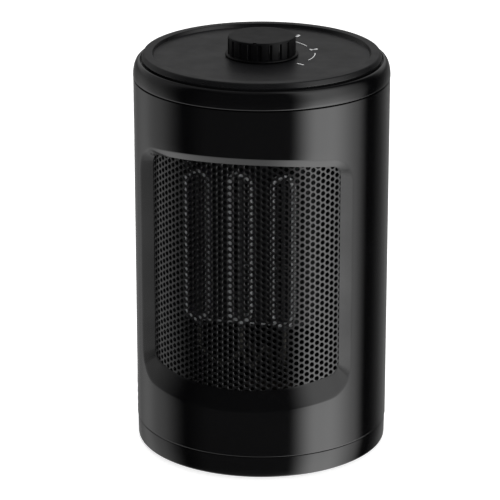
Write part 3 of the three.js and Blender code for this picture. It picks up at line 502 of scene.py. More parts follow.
def around(tree, turn, reach, height=0.0):
    """Point at an angle from the front, a distance from the axis and a height."""
    sides = []
    for trace, sign in (("SINE", 1.0), ("COSINE", -1.0)):
        side = add(tree, "ShaderNodeMath", (turn,), operation=trace)
        for factor in (reach, sign):
            side = add(tree, "ShaderNodeMath", (side, factor), operation="MULTIPLY")
        sides.append(side)
    return add(tree, "ShaderNodeCombineXYZ", (*sides, height))


def copies_at(tree, count, spot, shape, **settings):
    """Copies of a shape, one at each of so many spots."""
    points = add(tree, "GeometryNodePoints", {"Count": count})
    placed = add(tree, "GeometryNodeSetPosition", {"Geometry": points, "Position": spot})
    return add(tree, "GeometryNodeInstanceOnPoints", {
        "Points": placed, "Instance": shape, **settings})


def close_tree(tree, geometry, material):
    """Ends a tree in real geometry with its material."""
    real = add(tree, "GeometryNodeRealizeInstances", {"Geometry": geometry})
    coated = add(tree, "GeometryNodeSetMaterial", {"Geometry": real, "Material": material})
    add(tree, "NodeGroupOutput", {"Geometry": coated})


def run_tree(tree, mesh, material, **sizes):
    """Result of a tree on a mesh, as a plain mesh."""
    holder = holder_of(mesh)
    modifier = holder.modifiers.new("tree", "NODES")
    modifier.node_group = tree
    values = dict(sizes, Material=material)
    for item in tree.interface.items_tree:
        if item.name in values:
            modifier[item.identifier] = values[item.name]
    return evaluated(holder)


def field_tree():
    """Repeats a flat tile in staggered columns, thickens it and bends it round the axis."""
    tree, size = new_tree("tiles_round_a_cylinder", Columns=3, Rows=3, ColumnPitch=1.0,
                          RowPitch=1.0, Stagger=0.0, Radius=1.0, Thickness=0.1, Height=0.0,
                          Facing=0.0)
    here = add(tree, "ShaderNodeSeparateXYZ", (add(tree, "GeometryNodeInputPosition"),)).outputs
    known = dict(size.items(), index=add(tree, "GeometryNodeInputIndex"), x=here["X"],
                 y=here["Y"], z=here["Z"])
    for name, first, operation, second in (
            ("tiles", "Columns", "MULTIPLY", "Rows"),
            ("column", "index", "MODULO", "Columns"),
            ("row", "index", "DIVIDE", "Columns"),
            ("row", "row", "FLOOR", 0.0),
            ("half width", "Columns", "SUBTRACT", 1.0),
            ("half width", "half width", "MULTIPLY", 0.5),
            ("half height", "Rows", "SUBTRACT", 1.0),
            ("half height", "half height", "MULTIPLY", 0.5),
            ("stagger", "column", "MODULO", 2.0),
            ("stagger", "stagger", "SUBTRACT", 0.5),
            ("stagger", "stagger", "MULTIPLY", "Stagger"),
            ("across", "column", "SUBTRACT", "half width"),
            ("across", "across", "MULTIPLY", "ColumnPitch"),
            ("up", "row", "SUBTRACT", "half height"),
            ("up", "up", "ADD", "stagger"),
            ("up", "up", "MULTIPLY", "RowPitch"),
            ("turn", "x", "DIVIDE", "Radius"),
            ("turn", "turn", "ADD", "Facing"),
            ("reach", "z", "ADD", "Radius"),
            ("level", "y", "ADD", "Height")):
        known[name] = add(tree, "ShaderNodeMath", (known[first], known.get(second, second)),
                          operation=operation)
    spot = add(tree, "ShaderNodeCombineXYZ", (known["across"], known["up"]))
    copies = copies_at(tree, known["tiles"], spot, size["Geometry"])
    flat = add(tree, "GeometryNodeRealizeInstances", {"Geometry": copies})
    front = add(tree, "GeometryNodeMergeByDistance", {"Geometry": flat, "Distance": 0.02 * MM})
    walls = add(tree, "GeometryNodeExtrudeMesh", {
        "Mesh": front, "Offset": add(tree, "ShaderNodeCombineXYZ", {"Z": 1.0}),
        "Offset Scale": size["Thickness"], "Individual": False})
    back = add(tree, "GeometryNodeFlipFaces", {"Mesh": front})
    both = add(tree, "GeometryNodeJoinGeometry")
    for part in (walls, back):
        tree.links.new(part.outputs[0], both.inputs[0])
    plate = add(tree, "GeometryNodeMergeByDistance", {"Geometry": both, "Distance": 0.02 * MM})
    bent = around(tree, known["turn"], known["reach"], known["level"])
    curved = add(tree, "GeometryNodeSetPosition", {"Geometry": plate, "Position": bent})
    close_tree(tree, curved, size["Material"])
    return tree


def circle_tree():
    """Copies of a shape in a circle round the axis, each turned with its place."""
    tree, size = new_tree("copies_in_a_circle", Count=4, Radius=1.0, First=0.0)
    step = add(tree, "ShaderNodeMath", (2 * math.pi, size["Count"]), operation="DIVIDE")
    turn = add(tree, "GeometryNodeInputIndex")
    turn = add(tree, "ShaderNodeMath", (turn, step), operation="MULTIPLY")
    turn = add(tree, "ShaderNodeMath", (turn, size["First"]), operation="ADD")
    copies = copies_at(tree, size["Count"], around(tree, turn, size["Radius"]),
                       size["Geometry"], Rotation=add(tree, "ShaderNodeCombineXYZ", {"Z": turn}))
    close_tree(tree, copies, size["Material"])
    return tree


def row_tree():
    """Copies of a shape one above the other."""
    tree, size = new_tree("copies_in_a_row", Count=4, Pitch=1.0)
    step = add(tree, "ShaderNodeCombineXYZ", {"Z": size["Pitch"]})
    line = add(tree, "GeometryNodeMeshLine", {"Count": size["Count"], "Offset": step})
    copies = add(tree, "GeometryNodeInstanceOnPoints", {
        "Points": line, "Instance": size["Geometry"]})
    close_tree(tree, copies, size["Material"])
    return tree


tiles_round = field_tree()
copies_in_circle = circle_tree()
copies_in_row = row_tree()


def ring_of_four(shape, circle, first, material):
    """Four copies of a shape on a circle, the first at an angle from the front."""
    return run_tree(copies_in_circle, shape, material, Count=4, Radius=circle * MM,
                    First=math.radians(first))


def flat_shape(name, points, faces):
    """Flat mesh in X and Y that faces +Z, for a tree to repeat."""
    mesh = bpy.data.meshes.new(name)
    mesh.from_pydata([(x * MM, y * MM, 0) for x, y in points], [], faces)
    return mesh


# ---------------- front shell
def mix(first, second, share):
    return tuple(a + (b - a) * share for a, b in zip(first, second))


CORNER_STEPS = 6  # half a corner
SIDE_STEPS = (64, 40, 64, 40)  # bottom, right, top and left edge


def window_loop(half, z0, z1, corner, radius, bow=WINDOW_BOW):
    """(angle, z) points round a rounded window with bowed upper and lower edges."""
    turn = math.degrees(corner / radius)
    centres = [(-half + turn, z0 + corner), (half - turn, z0 + corner),
               (half - turn, z1 - corner), (-half + turn, z1 - corner)]

    def on_corner(centre, direction):
        angle = math.radians(direction)
        return centre[0] + turn * math.cos(angle), centre[1] + corner * math.sin(angle)

    points = []
    for side, steps in enumerate(SIDE_STEPS):
        here, there = centres[side], centres[(side + 1) % 4]
        facing = 270 + 90 * side
        points += [on_corner(here, facing - 45 + 45 * i / CORNER_STEPS)
                   for i in range(CORNER_STEPS)]
        first, last = on_corner(here, facing), on_corner(there, facing)
        points += [mix(first, last, i / steps) for i in range(steps + 1)]
        points += [on_corner(there, facing + 45 * i / CORNER_STEPS)
                   for i in range(1, CORNER_STEPS)]
    middle = (z0 + z1) / 2
    bowed = []
    for angle, z in points:
        sag = bow * (angle / half) ** 2 * min(1, abs(z - middle) / (middle - z0))
        bowed.append((angle, z - sag if z > middle else z + sag))
    return bowed


def border_loop(half, z0, z1):
    """(angle, z) points round the whole shell, one for each point of a window loop."""
    corners = [(-half, z0), (half, z0), (half, z1), (-half, z1)]
    points = []
    for side, steps in enumerate(SIDE_STEPS):
        count = steps + 2 * CORNER_STEPS
        points += [mix(corners[side], corners[(side + 1) % 4], i / count) for i in range(count)]
    return points


def placed(loop, radius):
    """Points of a loop of (angle, z) on a cylinder."""
    return [(*towards(angle, radius).xy, z) for angle, z in loop]


def blended(first, second, share):
    return [mix(a, b, share) for a, b in zip(first, second)]


def bend_between(before, corner, after, steps):
    """Rings of a smooth bend from one (loop, radius) over a second one to a third."""
    rings = []
    for i in range(steps + 1):
        q = i / steps
        loop = blended(blended(before[0], corner[0], q), blended(corner[0], after[0], q), q)
        radius = mix(mix((before[1],), (corner[1],), q), mix((corner[1],), (after[1],), q), q)[0]
        rings.append(placed(loop, radius))
    return rings


def front_shell():
    half = SHELL_SEAM - math.degrees(FIT / 2 / BODY_RADIUS)
    edge = math.degrees(SHELL_EDGE / BODY_RADIUS)
    border = border_loop(half, SHELL_LOW, SHELL_HIGH)
    inside_edge = border_loop(half - edge, SHELL_LOW + SHELL_EDGE, SHELL_HIGH - UPPER_EDGE)
    rim = window_loop(WINDOW_HALF, *WINDOW_Z, WINDOW_CORNER, BODY_RADIUS)
    soft = RIM_SOFTNESS
    wide = window_loop(WINDOW_HALF + math.degrees(soft / BODY_RADIUS), WINDOW_Z[0] - soft,
                       WINDOW_Z[1] + soft, WINDOW_CORNER + soft, BODY_RADIUS)
    lip = window_loop(OPENING_HALF, *OPENING_Z, LIP_CORNER, LIP_RADIUS)
    slope = [(blended(rim, lip, t), BODY_RADIUS + (LIP_RADIUS - BODY_RADIUS) * t)
             for t in (0.16, 0.3, 0.45, 0.6, 0.75, 0.9)]
    rings = bend_between((border, BODY_RADIUS - SHELL_EDGE), (border, BODY_RADIUS),
                         (inside_edge, BODY_RADIUS), 4)
    rings += [placed(blended(inside_edge, wide, t), BODY_RADIUS)
              for t in (0.1, 0.25, 0.4, 0.55, 0.7, 0.85)]
    rings += bend_between((wide, BODY_RADIUS), (rim, BODY_RADIUS), slope[0], 6)
    rings += [placed(*ring) for ring in slope[1:]]
    rings += [placed(lip, LIP_RADIUS), placed(lip, LIP_RADIUS - LIP_DEPTH)]
    rings += [placed(blended(rim, border, t), SHELL_INNER) for t in (0, 0.2, 0.4, 0.6, 0.8, 1)]
    zone = (FLOW_SHARE, LIP_RADIUS - LIP_DEPTH - 0.05, WINDOW_HALF + 2,
            WINDOW_Z[0] - 2, WINDOW_Z[1] + 2)
    return true_round(lofted("front_shell", rings, closed=True, sharp=24), BODY_RADIUS,
                      SHELL_INNER, flow=zone)


piece("front_shell_skin", front_shell(), gloss_abs, "housing", "gloss_housing", "front_shell")


# ---------------- rear shell
def wall(z0, z1, half, centre, steps=96):
    """Curved wall from -half to half degrees about a facing, with rounded outer edges."""
    outline = rounded([(SHELL_INNER, z0), (BODY_RADIUS, z0, SHELL_EDGE),
                       (BODY_RADIUS, z1, UPPER_EDGE), (SHELL_INNER, z1)], 4)
    return lofted("wall", [
        [(*towards(centre - half + 2 * half * i / steps, r).xy, z) for r, z in outline]
        for i in range(steps + 1)], sharp=24)


def stadium(width, height, steps=8):
    """Outline of a slot with round ends, anticlockwise."""
    r = width / 2
    straight = height / 2 - r
    upper = [(r * math.cos(math.pi * i / steps), straight + r * math.sin(math.pi * i / steps))
             for i in range(steps + 1)]
    return upper + [(-x, -y) for x, y in upper]


SLOT_COLUMNS = 13
SLOT_ROWS = 3
SLOT_WIDTH = 3.8
SLOT_HEIGHT = 40.0
SLOT_ROW_PITCH = 46.5
SLOT_LOW = SHELL_LOW + 42
REAR_STRIPS = 21


def at_inlet(mesh):
    """A shape made on the axis, laid along the cord inlet's own."""
    mesh.transform(Matrix.Rotation(-math.pi / 2, 4, "X"))
    return shifted(mesh, 0, 0, INLET_HIGH)


def rear_shell():
    half = 180 - SHELL_SEAM - math.degrees(FIT / 2 / BODY_RADIUS)
    shell = wall(SHELL_LOW, SHELL_HIGH, half, 180)
    outline = stadium(SLOT_WIDTH, SLOT_HEIGHT)
    slot = flat_shape("slot", outline, [tuple(range(len(outline)))])
    pitch = 2 * math.radians(half) * BODY_RADIUS / REAR_STRIPS
    slots = run_tree(
        tiles_round, slot, gloss_abs, Columns=SLOT_COLUMNS, Rows=SLOT_ROWS,
        ColumnPitch=pitch * MM, RowPitch=SLOT_ROW_PITCH * MM, Radius=(SHELL_INNER - 2) * MM,
        Thickness=(SHELL_WALL + 4) * MM, Stagger=0.0, Facing=math.pi,
        Height=(SLOT_LOW + SLOT_HEIGHT / 2 + SLOT_ROW_PITCH * (SLOT_ROWS - 1) / 2) * MM)
    inlet = at_inlet(rod(INLET_RADIUS + FIT, SHELL_INNER - 6.8, BODY_RADIUS + 5, SMALL_STEPS))
    return true_round(carved(shell, settled(slots), inlet), BODY_RADIUS, SHELL_INNER)


piece("rear_shell_skin", rear_shell(), gloss_abs, "housing", "gloss_housing", "rear_shell")


# ---------------- grille
def perforated_tile():
    """One punched hole in a tile whose edge meets its neighbours point to point."""
    w, h = COLUMN_PITCH / 2, HOLE_PITCH / 2
    edge = [(w, 0), (w, h), (w / 2, h), (0, h), (-w / 2, h), (-w, h), (-w, 0), (-w, -h),
            (-w / 2, -h), (0, -h), (w / 2, -h), (w, -h)]
    count = len(edge)
    turns = [2 * math.pi * i / count for i in range(count)]
    rings = [(HOLE_RADIUS + HOLE_ROLL, 0), (HOLE_RADIUS, -HOLE_ROLL)]
    points = [(*spot, 0) for spot in edge]
    points += [(r * math.cos(a), r * math.sin(a), z) for r, z in rings for a in turns]
    faces = [(i, (i + 1) % count, (i + 1) % count + count, i + count)
             for i in range(count)]
    faces += [tuple(k + count for k in face) for face in faces]
    mesh = bpy.data.meshes.new("tile")
    mesh.from_pydata([tuple(c * MM for c in point) for point in points], [], faces)
    return mesh


def grille():
    width = 2 * (math.radians(OPENING_HALF) * GRILLE_OUTER + 2)
    height = OPENING_Z[1] - OPENING_Z[0] + 4
    middle = (OPENING_Z[0] + OPENING_Z[1]) / 2
    mesh = run_tree(
        tiles_round, perforated_tile(), coated_steel, Columns=int(width / COLUMN_PITCH),
        Rows=int(height / HOLE_PITCH), ColumnPitch=COLUMN_PITCH * MM, RowPitch=HOLE_PITCH * MM,
        Stagger=0.5, Radius=(GRILLE_OUTER - GRILLE_THICKNESS) * MM,
        Thickness=GRILLE_THICKNESS * MM, Height=middle * MM, Facing=0.0)
    return smooth(mesh, 40)


piece("outlet_grille", grille(), coated_steel, "housing", "grille_paint", "front_grille")


# ---------------- heating elements
ELEMENT_WIDTH = 12.4
ELEMENT_HEIGHT = 90.0
ELEMENT_RIM = 1.35  # radius of the rolled rim
FIN_PITCH = 2.0
FIN_DEPTH = 9.0
FIN_THICKNESS = 0.22
BUS_HALF = 31.0  # half of the wire that joins the elements


def element_rim(sides=10):
    """Rolled rim round the front of one element, centred on the origin."""
    half = (ELEMENT_HEIGHT - ELEMENT_WIDTH) / 2
    turns = [2 * math.pi * k / sides for k in range(sides)]
    sections = []
    for x, z in stadium(ELEMENT_WIDTH, ELEMENT_HEIGHT, 12):
        out = Vector((x, z - max(-half, min(half, z)))).normalized() * ELEMENT_RIM
        sections.append([(x + out.x * math.cos(turn), ELEMENT_RIM * math.sin(turn),
                          z + out.y * math.cos(turn)) for turn in turns])
    return lofted("rim", sections, closed=True)


def fin():
    """One cooling fin with a wave in it, on one side of the ceramic strip."""
    near, far = 1.5, ELEMENT_WIDTH / 2 - 1.0
    half = FIN_THICKNESS / 2
    return lofted("fin", [
        [(near + (far - near) * i / 4, y, lift + z)
         for y, z in ((0, -half), (0, half), (FIN_DEPTH, half), (FIN_DEPTH, -half))]
        for i, lift in enumerate((0, 0.35, 0.5, 0.35, 0))])


rims, fins = [], []
for side in ("left", "centre", "right"):
    case = f"ptc_element_{side}"
    middle = (low(case).x + high(case).x) / 2
    front = low(case).y
    centre = high(case).z - ELEMENT_HEIGHT / 2
    rims.append(shifted(element_rim(), middle, front + 0.5, centre))
    count = int((ELEMENT_HEIGHT - ELEMENT_WIDTH) / FIN_PITCH)
    for mirror in (1, -1):
        # the fins take the near-black aluminium, painted shade for the duct behind the grille
        stack = run_tree(copies_in_row, fin(), shaded_fin_aluminium, Count=count,
                         Pitch=FIN_PITCH * MM)
        stack.transform(Matrix.Diagonal((mirror, 1, 1, 1)))
        fins.append(settled(shifted(
            stack, middle, front + 1.5, centre - FIN_PITCH * (count - 1) / 2)))
piece("element_rims", joined(*rims), blasted_aluminium, "housing", "element_aluminium")
bus_wire = turned("bus_wire", rounded([
    (0, -BUS_HALF), (0.5, -BUS_HALF, 0.2), (0.5, BUS_HALF, 0.2), (0, BUS_HALF)]), 12)
bus_wire.transform(Matrix.Rotation(math.pi / 2, 4, "Y"))
shifted(bus_wire, 0, front + 1.6, centre - ELEMENT_HEIGHT / 2 - 0.6)
piece("element_bus_wire", bus_wire, blasted_aluminium, "housing", "element_aluminium")
piece("element_fins", joined(*fins), shaded_fin_aluminium, "housing", "element_aluminium")


# ---------------- base, feet and screws
SPIGOT_RADIUS = SHELL_INNER - FIT
SPIGOT_INNER = SPIGOT_RADIUS - 1.8
SPIGOT_HIGH = SHELL_LOW + 4
BASE_FLOOR = BASE_LOW + 2.2
FOOT_CIRCLE = 58.0
FOOT_RADIUS = 7.0
SCREW_CIRCLE = SHELL_INNER - 3.4
SCREW_TURN = 45  # degrees from the front to the first screw
HEAD_RADIUS = 3.0
PLUNGER_RADIUS = 3.0
PLUNGER_PLACE = -20.0  # from the axis to the plunger


def base_cup():
    groove = BASE_RADIUS - SEAM_DEPTH
    cup = turned("base_cup", rounded([
        (0, BASE_LOW), (BASE_RADIUS - 0.2, BASE_LOW, 1.2),
        (BASE_RADIUS, SHELL_LOW - SEAM_GROOVE, UPPER_EDGE), (groove, SHELL_LOW - SEAM_GROOVE),
        (SPIGOT_RADIUS, SHELL_LOW - FIT), (SPIGOT_RADIUS, SPIGOT_HIGH, 0.4),
        (SPIGOT_INNER, SPIGOT_HIGH), (SPIGOT_INNER, BASE_FLOOR), (0, BASE_FLOOR)]))
    pockets = ring_of_four(rod(FOOT_RADIUS + FIT, 0, 3, SMALL_STEPS), FOOT_CIRCLE, 0, gloss_abs)
    wells = ring_of_four(rod(HEAD_RADIUS + FIT, 0, BASE_LOW + 2 + FIT), SCREW_CIRCLE, SCREW_TURN,
                         gloss_abs)
    hole = shifted(rod(PLUNGER_RADIUS + FIT, 0, 6), 0, PLUNGER_PLACE, 0)
    return true_level(carved(cup, settled(pockets), settled(wells), hole))


def foot():
    return turned("foot", rounded([
        (0, 0.5), (3.2, 0.5), (3.7, 0), (FOOT_RADIUS, 0, 0.6), (FOOT_RADIUS, 2.7), (0, 2.7)]),
        SMALL_STEPS)


def screw():
    """Pan head with a cross recess, seen from below."""
    head = turned("screw", rounded([
        (0, 1.75), (HEAD_RADIUS, 1.75, 0.7), (HEAD_RADIUS, 3.5), (1.5, 3.5), (1.5, 26.5),
        (0, 26.5)]), 32)
    blades = [block(3.4, 0.7, 2.9), block(3.4, 0.7, 2.9)]
    blades[1].transform(Matrix.Rotation(math.pi / 2, 4, "Z"))
    return carved(head, *[shifted(blade, 0, 0, 1.45) for blade in blades])


piece("base_cup_skin", base_cup(), gloss_abs, "housing", "gloss_housing", "base_cup")
piece("base_feet", ring_of_four(foot(), FOOT_CIRCLE, 0, rubber), rubber, "housing",
      "foot_rubber", "foot_front", "foot_right", "foot_back", "foot_left")
piece("base_screws", ring_of_four(screw(), SCREW_CIRCLE, SCREW_TURN, zinc_steel), zinc_steel,
      "housing", "screw_steel", *[f"base_screw_{i}" for i in (1, 2, 3, 4)])


# ---------------- cord inlet
def cord_inlet():
    """Rubber bush of the rear shell, its bore shut by a thin web at the inner end."""
    inner_end = low("cord_inlet").y
    outer_end, collar = high("cord_inlet").y, high("cord_inlet").x
    seat = math.sqrt(SHELL_INNER ** 2 - collar ** 2) - FIT
    return at_inlet(turned("cord_inlet", rounded([
        (0, inner_end), (5, inner_end, 0.4), (collar, seat - 1.6, 0.4), (collar, seat),
        (INLET_RADIUS, seat), (INLET_RADIUS, outer_end, 0.6), (INLET_BORE, outer_end, 0.5),
        (INLET_BORE, inner_end + 1), (0, inner_end + 1)]), SMALL_STEPS))


piece("inlet_bush", cord_inlet(), rubber, "housing", "foot_rubber", "cord_inlet")


# ---------------- top ring and panel
RING_RIM = 4.1  # from the ring's outside to the gap round the lid
SHOULDER = (3.6, 9.2)  # how far the ring's crowned shoulder reaches in and down
LID_EDGE = (1.3, 2.8)  # how far the lid's upper edge slopes in and down
LID_UNDERCUT = 2.2
LID_BODY = PANEL_RADIUS - 3.9  # what drops into the ring
SHAFT_HOLE = 4.8


def top_ring():
    groove = BODY_RADIUS - SEAM_DEPTH
    inner = RING_RADIUS - RING_RIM
    seat = inner - 2.9
    crown = [(RING_RADIUS - SHOULDER[0] * (1 - math.cos(turn)),
              RING_HIGH - SHOULDER[1] * (1 - math.sin(turn)))
             for turn in (math.pi / 2 * i / 14 for i in range(15))]
    return turned("top_ring", rounded([
        (SPIGOT_INNER, RING_LOW), (SPIGOT_RADIUS, RING_LOW), (SPIGOT_RADIUS, SHELL_HIGH + FIT),
        (groove, SHELL_HIGH + SEAM_GROOVE), (RING_RADIUS, SHELL_HIGH + SEAM_GROOVE, 1.1), *crown,
        (inner, RING_HIGH, 0.1), (inner, LEDGE_HIGH), (seat, LEDGE_HIGH),
        (seat, LEDGE_HIGH - 2.4), (SPIGOT_INNER, LEDGE_HIGH - 5)], 8))


def control_panel():
    under = PANEL_FLOOR - 2.2
    return turned("control_panel", rounded([
        (SHAFT_HOLE, under), (LID_BODY, under), (LID_BODY, LEDGE_HIGH + FIT),
        (PANEL_RADIUS - LID_UNDERCUT, LEDGE_HIGH + FIT),
        (PANEL_RADIUS, PANEL_HIGH - LID_EDGE[1], 0.9),
        (PANEL_RADIUS - LID_EDGE[0], PANEL_HIGH, 1.1), (PANEL_RIM_INNER, PANEL_HIGH, 0.5),
        (PANEL_RIM_INNER - 0.8, PANEL_FLOOR, 0.4), (SHAFT_HOLE, PANEL_FLOOR)], 8))


piece("top_ring_skin", top_ring(), gloss_abs, "housing", "gloss_housing", "top_ring")
piece("panel_skin", control_panel(), matt_abs, "housing", "panel_plastic", "control_panel")


# ---------------- dial marks
INK = 0.03  # thickness of the print


def arc_mark(start, end, from_radius, to_radius, width=0.55, steps=24):
    """Printed line that curves round the knob while its radius changes."""
    top = PANEL_FLOOR + INK
    sections = []
    for i in range(steps + 1):
        turn = start + (end - start) * i / steps
        middle = from_radius + (to_radius - from_radius) * i / steps
        sections.append([
            (*towards(turn, middle + side * width / 2).xy, z)
            for side, z in ((-1, PANEL_FLOOR), (-1, top), (1, top), (1, PANEL_FLOOR))])
    return lofted("arc", sections)


def number_mark(text, turn, radius, size):
    """Number printed square to the radius, its foot towards the knob."""
    curve = bpy.data.curves.new("number", "FONT")
    curve.body = text
    curve.size = size * MM
    curve.extrude = INK / 2 * MM
    curve.offset = 0.02 * size * MM
    curve.align_x = "CENTER"
    curve.align_y = "CENTER"
    mesh = evaluated(holder_of(curve))
    spot = towards(turn, radius, PANEL_FLOOR + INK / 2) * MM
    facing = Matrix.Rotation(math.radians(turn + 180), 4, "Z")
    mesh.transform(Matrix.Translation(spot) @ facing)
    return mesh


marks = joined(
    arc_mark(157, 138, 35, 32.6), arc_mark(109, 79, 31.3, 29.4),
    number_mark("3", 166, 47, 7), number_mark("2", 124, 32.6, 6.6), number_mark("1", 60, 30, 6.8))
piece("dial_marks", marks, printed_ink, "housing", "panel_plastic")


# ---------------- knob
KNOB_TURN_STEPS = 16  # points for each flute
FLUTE_WIDTH = 2.0
FLUTE_DEPTH = 1.1
HUB_RADIUS = 8.0  # hollow under the knob
HUB_HIGH = KNOB_LOW + 4.6
BORE_RADIUS = 3.3
BORE_HIGH = KNOB_HIGH - 2
NOTCH = (2.2, 3.2, 1.6)  # pointer cut in the edge of the cap: width, length and twice its depth


def flute_depth(k):
    """Depth of the flutes at a step round the knob."""
    middle = (k % KNOB_TURN_STEPS) / KNOB_TURN_STEPS - 0.5
    off = abs(middle) * 360 / KNOB_FLUTES * math.radians(1) * KNOB_RADIUS
    return FLUTE_DEPTH * (1 - min(1.0, off / (FLUTE_WIDTH / 2)) ** 3)


def knob():
    skirt_top = KNOB_LOW + 1.0
    cap = KNOB_HIGH - 1.0
    dish = KNOB_HIGH - 0.12
    body = turned("knob", [
        (0, BORE_HIGH), (BORE_RADIUS, BORE_HIGH), (BORE_RADIUS, HUB_HIGH), (HUB_RADIUS, HUB_HIGH),
        (HUB_RADIUS, KNOB_LOW), (KNOB_SKIRT - 0.3, KNOB_LOW), (KNOB_SKIRT, KNOB_LOW + 0.3),
        (KNOB_SKIRT, skirt_top - 0.5), (KNOB_SKIRT - 0.2, skirt_top - 0.15),
        (KNOB_SKIRT - 0.6, skirt_top), (KNOB_RADIUS, skirt_top + 0.1, "fluted"),
        (KNOB_RADIUS - 0.12, cap - 0.3, "fluted"), (KNOB_RADIUS - 0.25, cap, "fluted"),
        (KNOB_RADIUS - 0.3, cap + 0.02), (KNOB_RADIUS - 0.4, KNOB_HIGH - 0.4),
        (KNOB_RADIUS - 0.6, dish), (KNOB_RADIUS - 0.95, KNOB_HIGH), (17.5, KNOB_HIGH - 0.05),
        (10, KNOB_HIGH - 0.1), (4, dish), (0, dish)],
        KNOB_FLUTES * KNOB_TURN_STEPS, 30, flute_depth)
    return carved(body, shifted(block(*NOTCH), 0, 0.6 - KNOB_RADIUS, KNOB_HIGH))


piece("knob_skin", knob(), knob_abs, "knob", "knob_plastic", "knob")


# ---------------- CAD nodes that stay
KEPT = (
    (aluminium, ["ptc_element_left", "ptc_element_centre", "ptc_element_right"]),
    (ceramic, ["ceramic_strip_left", "ceramic_strip_centre", "ceramic_strip_right"]),
    (nylon, ["heater_frame", "fan_shroud"]),
    (zinc_steel, ["switch_nut", "fan_clip", "motor_bracket", "thermal_cutout", "fan_motor",
                  "motor_shaft",
                  *[f"{kind}_screw_{i}" for kind in ("heater", "bracket") for i in (1, 2, 3, 4)]]),
    (spring_wire, ["tip_spring"]),
    (fan_plastic, ["fan_impeller"]),
    (phenolic, ["rotary_switch", "switch_shaft", "tip_switch", "tip_plunger", "terminal_block"]),
    (braid, ["lead_left", "lead_centre", "lead_right"]),
)
for material, names in KEPT:
    for name in names:
        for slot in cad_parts[name].material_slots:
            slot.material = material

# ---------------- floor
FLOOR_REACH = 6.0  # metres
FLOOR_GLOW = 0.72  # lifts the white board to the brightness of the room behind it

floor_mesh = bpy.data.meshes.new("floor")
floor_mesh.from_pydata([(x * FLOOR_REACH, y * FLOOR_REACH, 0)
                        for x, y in ((-1, -1), (1, -1), (1, 1), (-1, 1))], [], [(0, 1, 2, 3)])
floor = bpy.data.objects.new("floor", floor_mesh)
scene.collection.objects.link(floor)
floor_material = bpy.data.materials.new("painted_board")
floor_material.use_nodes = True
tree = floor_material.node_tree
tree.nodes.clear()
lit = add(tree, "ShaderNodeBsdfDiffuse", {"Color": linear("e8e8e8")})
seen = add(tree, "ShaderNodeLightPath").outputs["Is Camera Ray"]
seen = add(tree, "ShaderNodeMath", (seen, FLOOR_GLOW), operation="MULTIPLY")
glow = add(tree, "ShaderNodeEmission", {"Color": (1, 1, 1, 1), "Strength": seen})
add(tree, "ShaderNodeOutputMaterial", {"Surface": add(tree, "ShaderNodeAddShader", (lit, glow))})
floor_mesh.materials.append(floor_material)
floor.visible_glossy = False

# ---------------- light
# Each panel of light is a soft upright band of the studio: its facing from the camera towards
# the right, half of its width and its softness in degrees, and its brightness.
PANELS = ((58, 20, 14, 3.45), (88, 11, 12, 1.4), (-113, 24.5, 16.5, 0.6), (180, 45, 20, 0.22),
          (0, 60, 15, 0.06))
# How the panels fade with the rise of the view: its start and end, and what is left at each.
PANEL_FADES = ((-0.36, 0.1, 1.0, 0.58), (-0.28, -0.22, 1.0, 0.8), (0.5, 1.0, 1.0, 0.4),
               (-0.8, -0.5, 0.0, 1.0))
AMBIENT = 0.08  # what the studio gives a matt surface from all round
DARK_SIDE = 0.012  # what a mirror shows where no panel stands
TABLE_GLOW = (1.05, 2.6)  # the white table, straight below and towards the right
BACK_LIGHT = 0.3  # the wide soft light behind the heater
CEILING = 0.1  # the room overhead

world = bpy.data.worlds.new("studio")
scene.world = world
world.use_nodes = True
tree = world.node_tree
tree.nodes.clear()
direction = add(tree, "ShaderNodeTexCoord").outputs["Generated"]
rise = add(tree, "ShaderNodeSeparateXYZ", {"Vector": direction}).outputs["Z"]
level = add(tree, "ShaderNodeVectorMath", (direction, (1, 1, 0)), operation="MULTIPLY")
level = add(tree, "ShaderNodeVectorMath", (level,), operation="NORMALIZE")
# How far the view goes towards each panel, and towards the right and the back.
views = [(level, panel[0]) for panel in PANELS] + [(direction, 90), (direction, 180)]
*fronts, right, back = (
    add(tree, "ShaderNodeVectorMath", (view, towards(CAMERA_TURN + turn)),
        operation="DOT_PRODUCT").outputs["Value"] for view, turn in views)
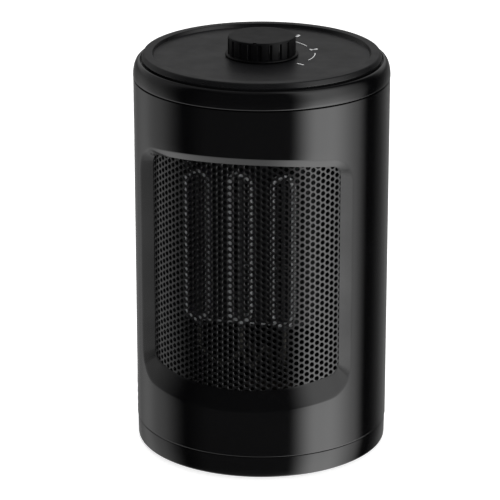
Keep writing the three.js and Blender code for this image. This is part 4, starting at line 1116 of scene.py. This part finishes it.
# Each step says what is done to the brightness so far, and the fades that are multiplied for
# it. A fade is a value, where it starts and ends, and what it gives at each.
steps = []
for front, (_, half_width, softness, strength) in zip(fronts, PANELS):
    off = add(tree, "ShaderNodeMath", (front,), operation="ARCCOSINE")
    steps.append(("ADD", (off, math.radians(half_width - softness),
                          math.radians(half_width + softness), strength, 0.0)))
steps += [("MULTIPLY", (rise, *panel_fade)) for panel_fade in PANEL_FADES]
steps += [("ADD", (rise, -0.5, -0.8, 0.0, 1.0), (right, 0.0, 0.45, *TABLE_GLOW)),
          ("ADD", (rise, 0.0, 0.3, 0.0, 1.0), (back, 0.5, 0.9, 0.0, BACK_LIGHT)),
          ("ADD", (rise, 0.74, 0.93, 0.0, CEILING))]
total = DARK_SIDE
for operation, *fades in steps:
    share = 1.0
    for value, start, end, first, last in fades:
        fade = add(tree, "ShaderNodeMapRange", {
            "Value": value, "From Min": start, "From Max": end, "To Min": first,
            "To Max": last}, interpolation_type="SMOOTHSTEP")
        share = add(tree, "ShaderNodeMath", (share, fade), operation="MULTIPLY")
    total = add(tree, "ShaderNodeMath", (total, share), operation=operation)
path = add(tree, "ShaderNodeLightPath").outputs
mirrored = add(tree, "ShaderNodeMix", {"Factor": path["Is Glossy Ray"], "A": AMBIENT, "B": total})
seen = add(tree, "ShaderNodeMath", (path["Is Camera Ray"], path["Is Transmission Ray"]),
           operation="MAXIMUM")
shown = add(tree, "ShaderNodeMix", {"Factor": seen, "A": mirrored, "B": 1.0})
background = add(tree, "ShaderNodeBackground", {"Color": (1, 1, 1, 1), "Strength": shown})
add(tree, "ShaderNodeOutputWorld", {"Surface": background})


def lamp(name, facing, reach, height, size, power):
    """Square soft lamp that looks at the middle of the heater; mirrors don't show it."""
    data = bpy.data.lights.new(name, "AREA")
    data.size = size
    data.energy = power
    thing = bpy.data.objects.new(name, data)
    thing.location = towards(CAMERA_TURN + facing, reach, height)
    aim = Vector((0, 0, 0.12)) - thing.location
    thing.rotation_euler = aim.to_track_quat("-Z", "Y").to_euler()
    thing.visible_glossy = False
    scene.collection.objects.link(thing)


lamp("key_lamp", 62, 1.8, 1.1, 1.2, 9)
lamp("front_lamp", 8, 1.9, 0.7, 1.0, 15)
lamp("fill_lamp", -70, 1.8, 1.3, 1.4, 2)
lamp("top_lamp", 180, 0.5, 1.9, 1.3, 26)
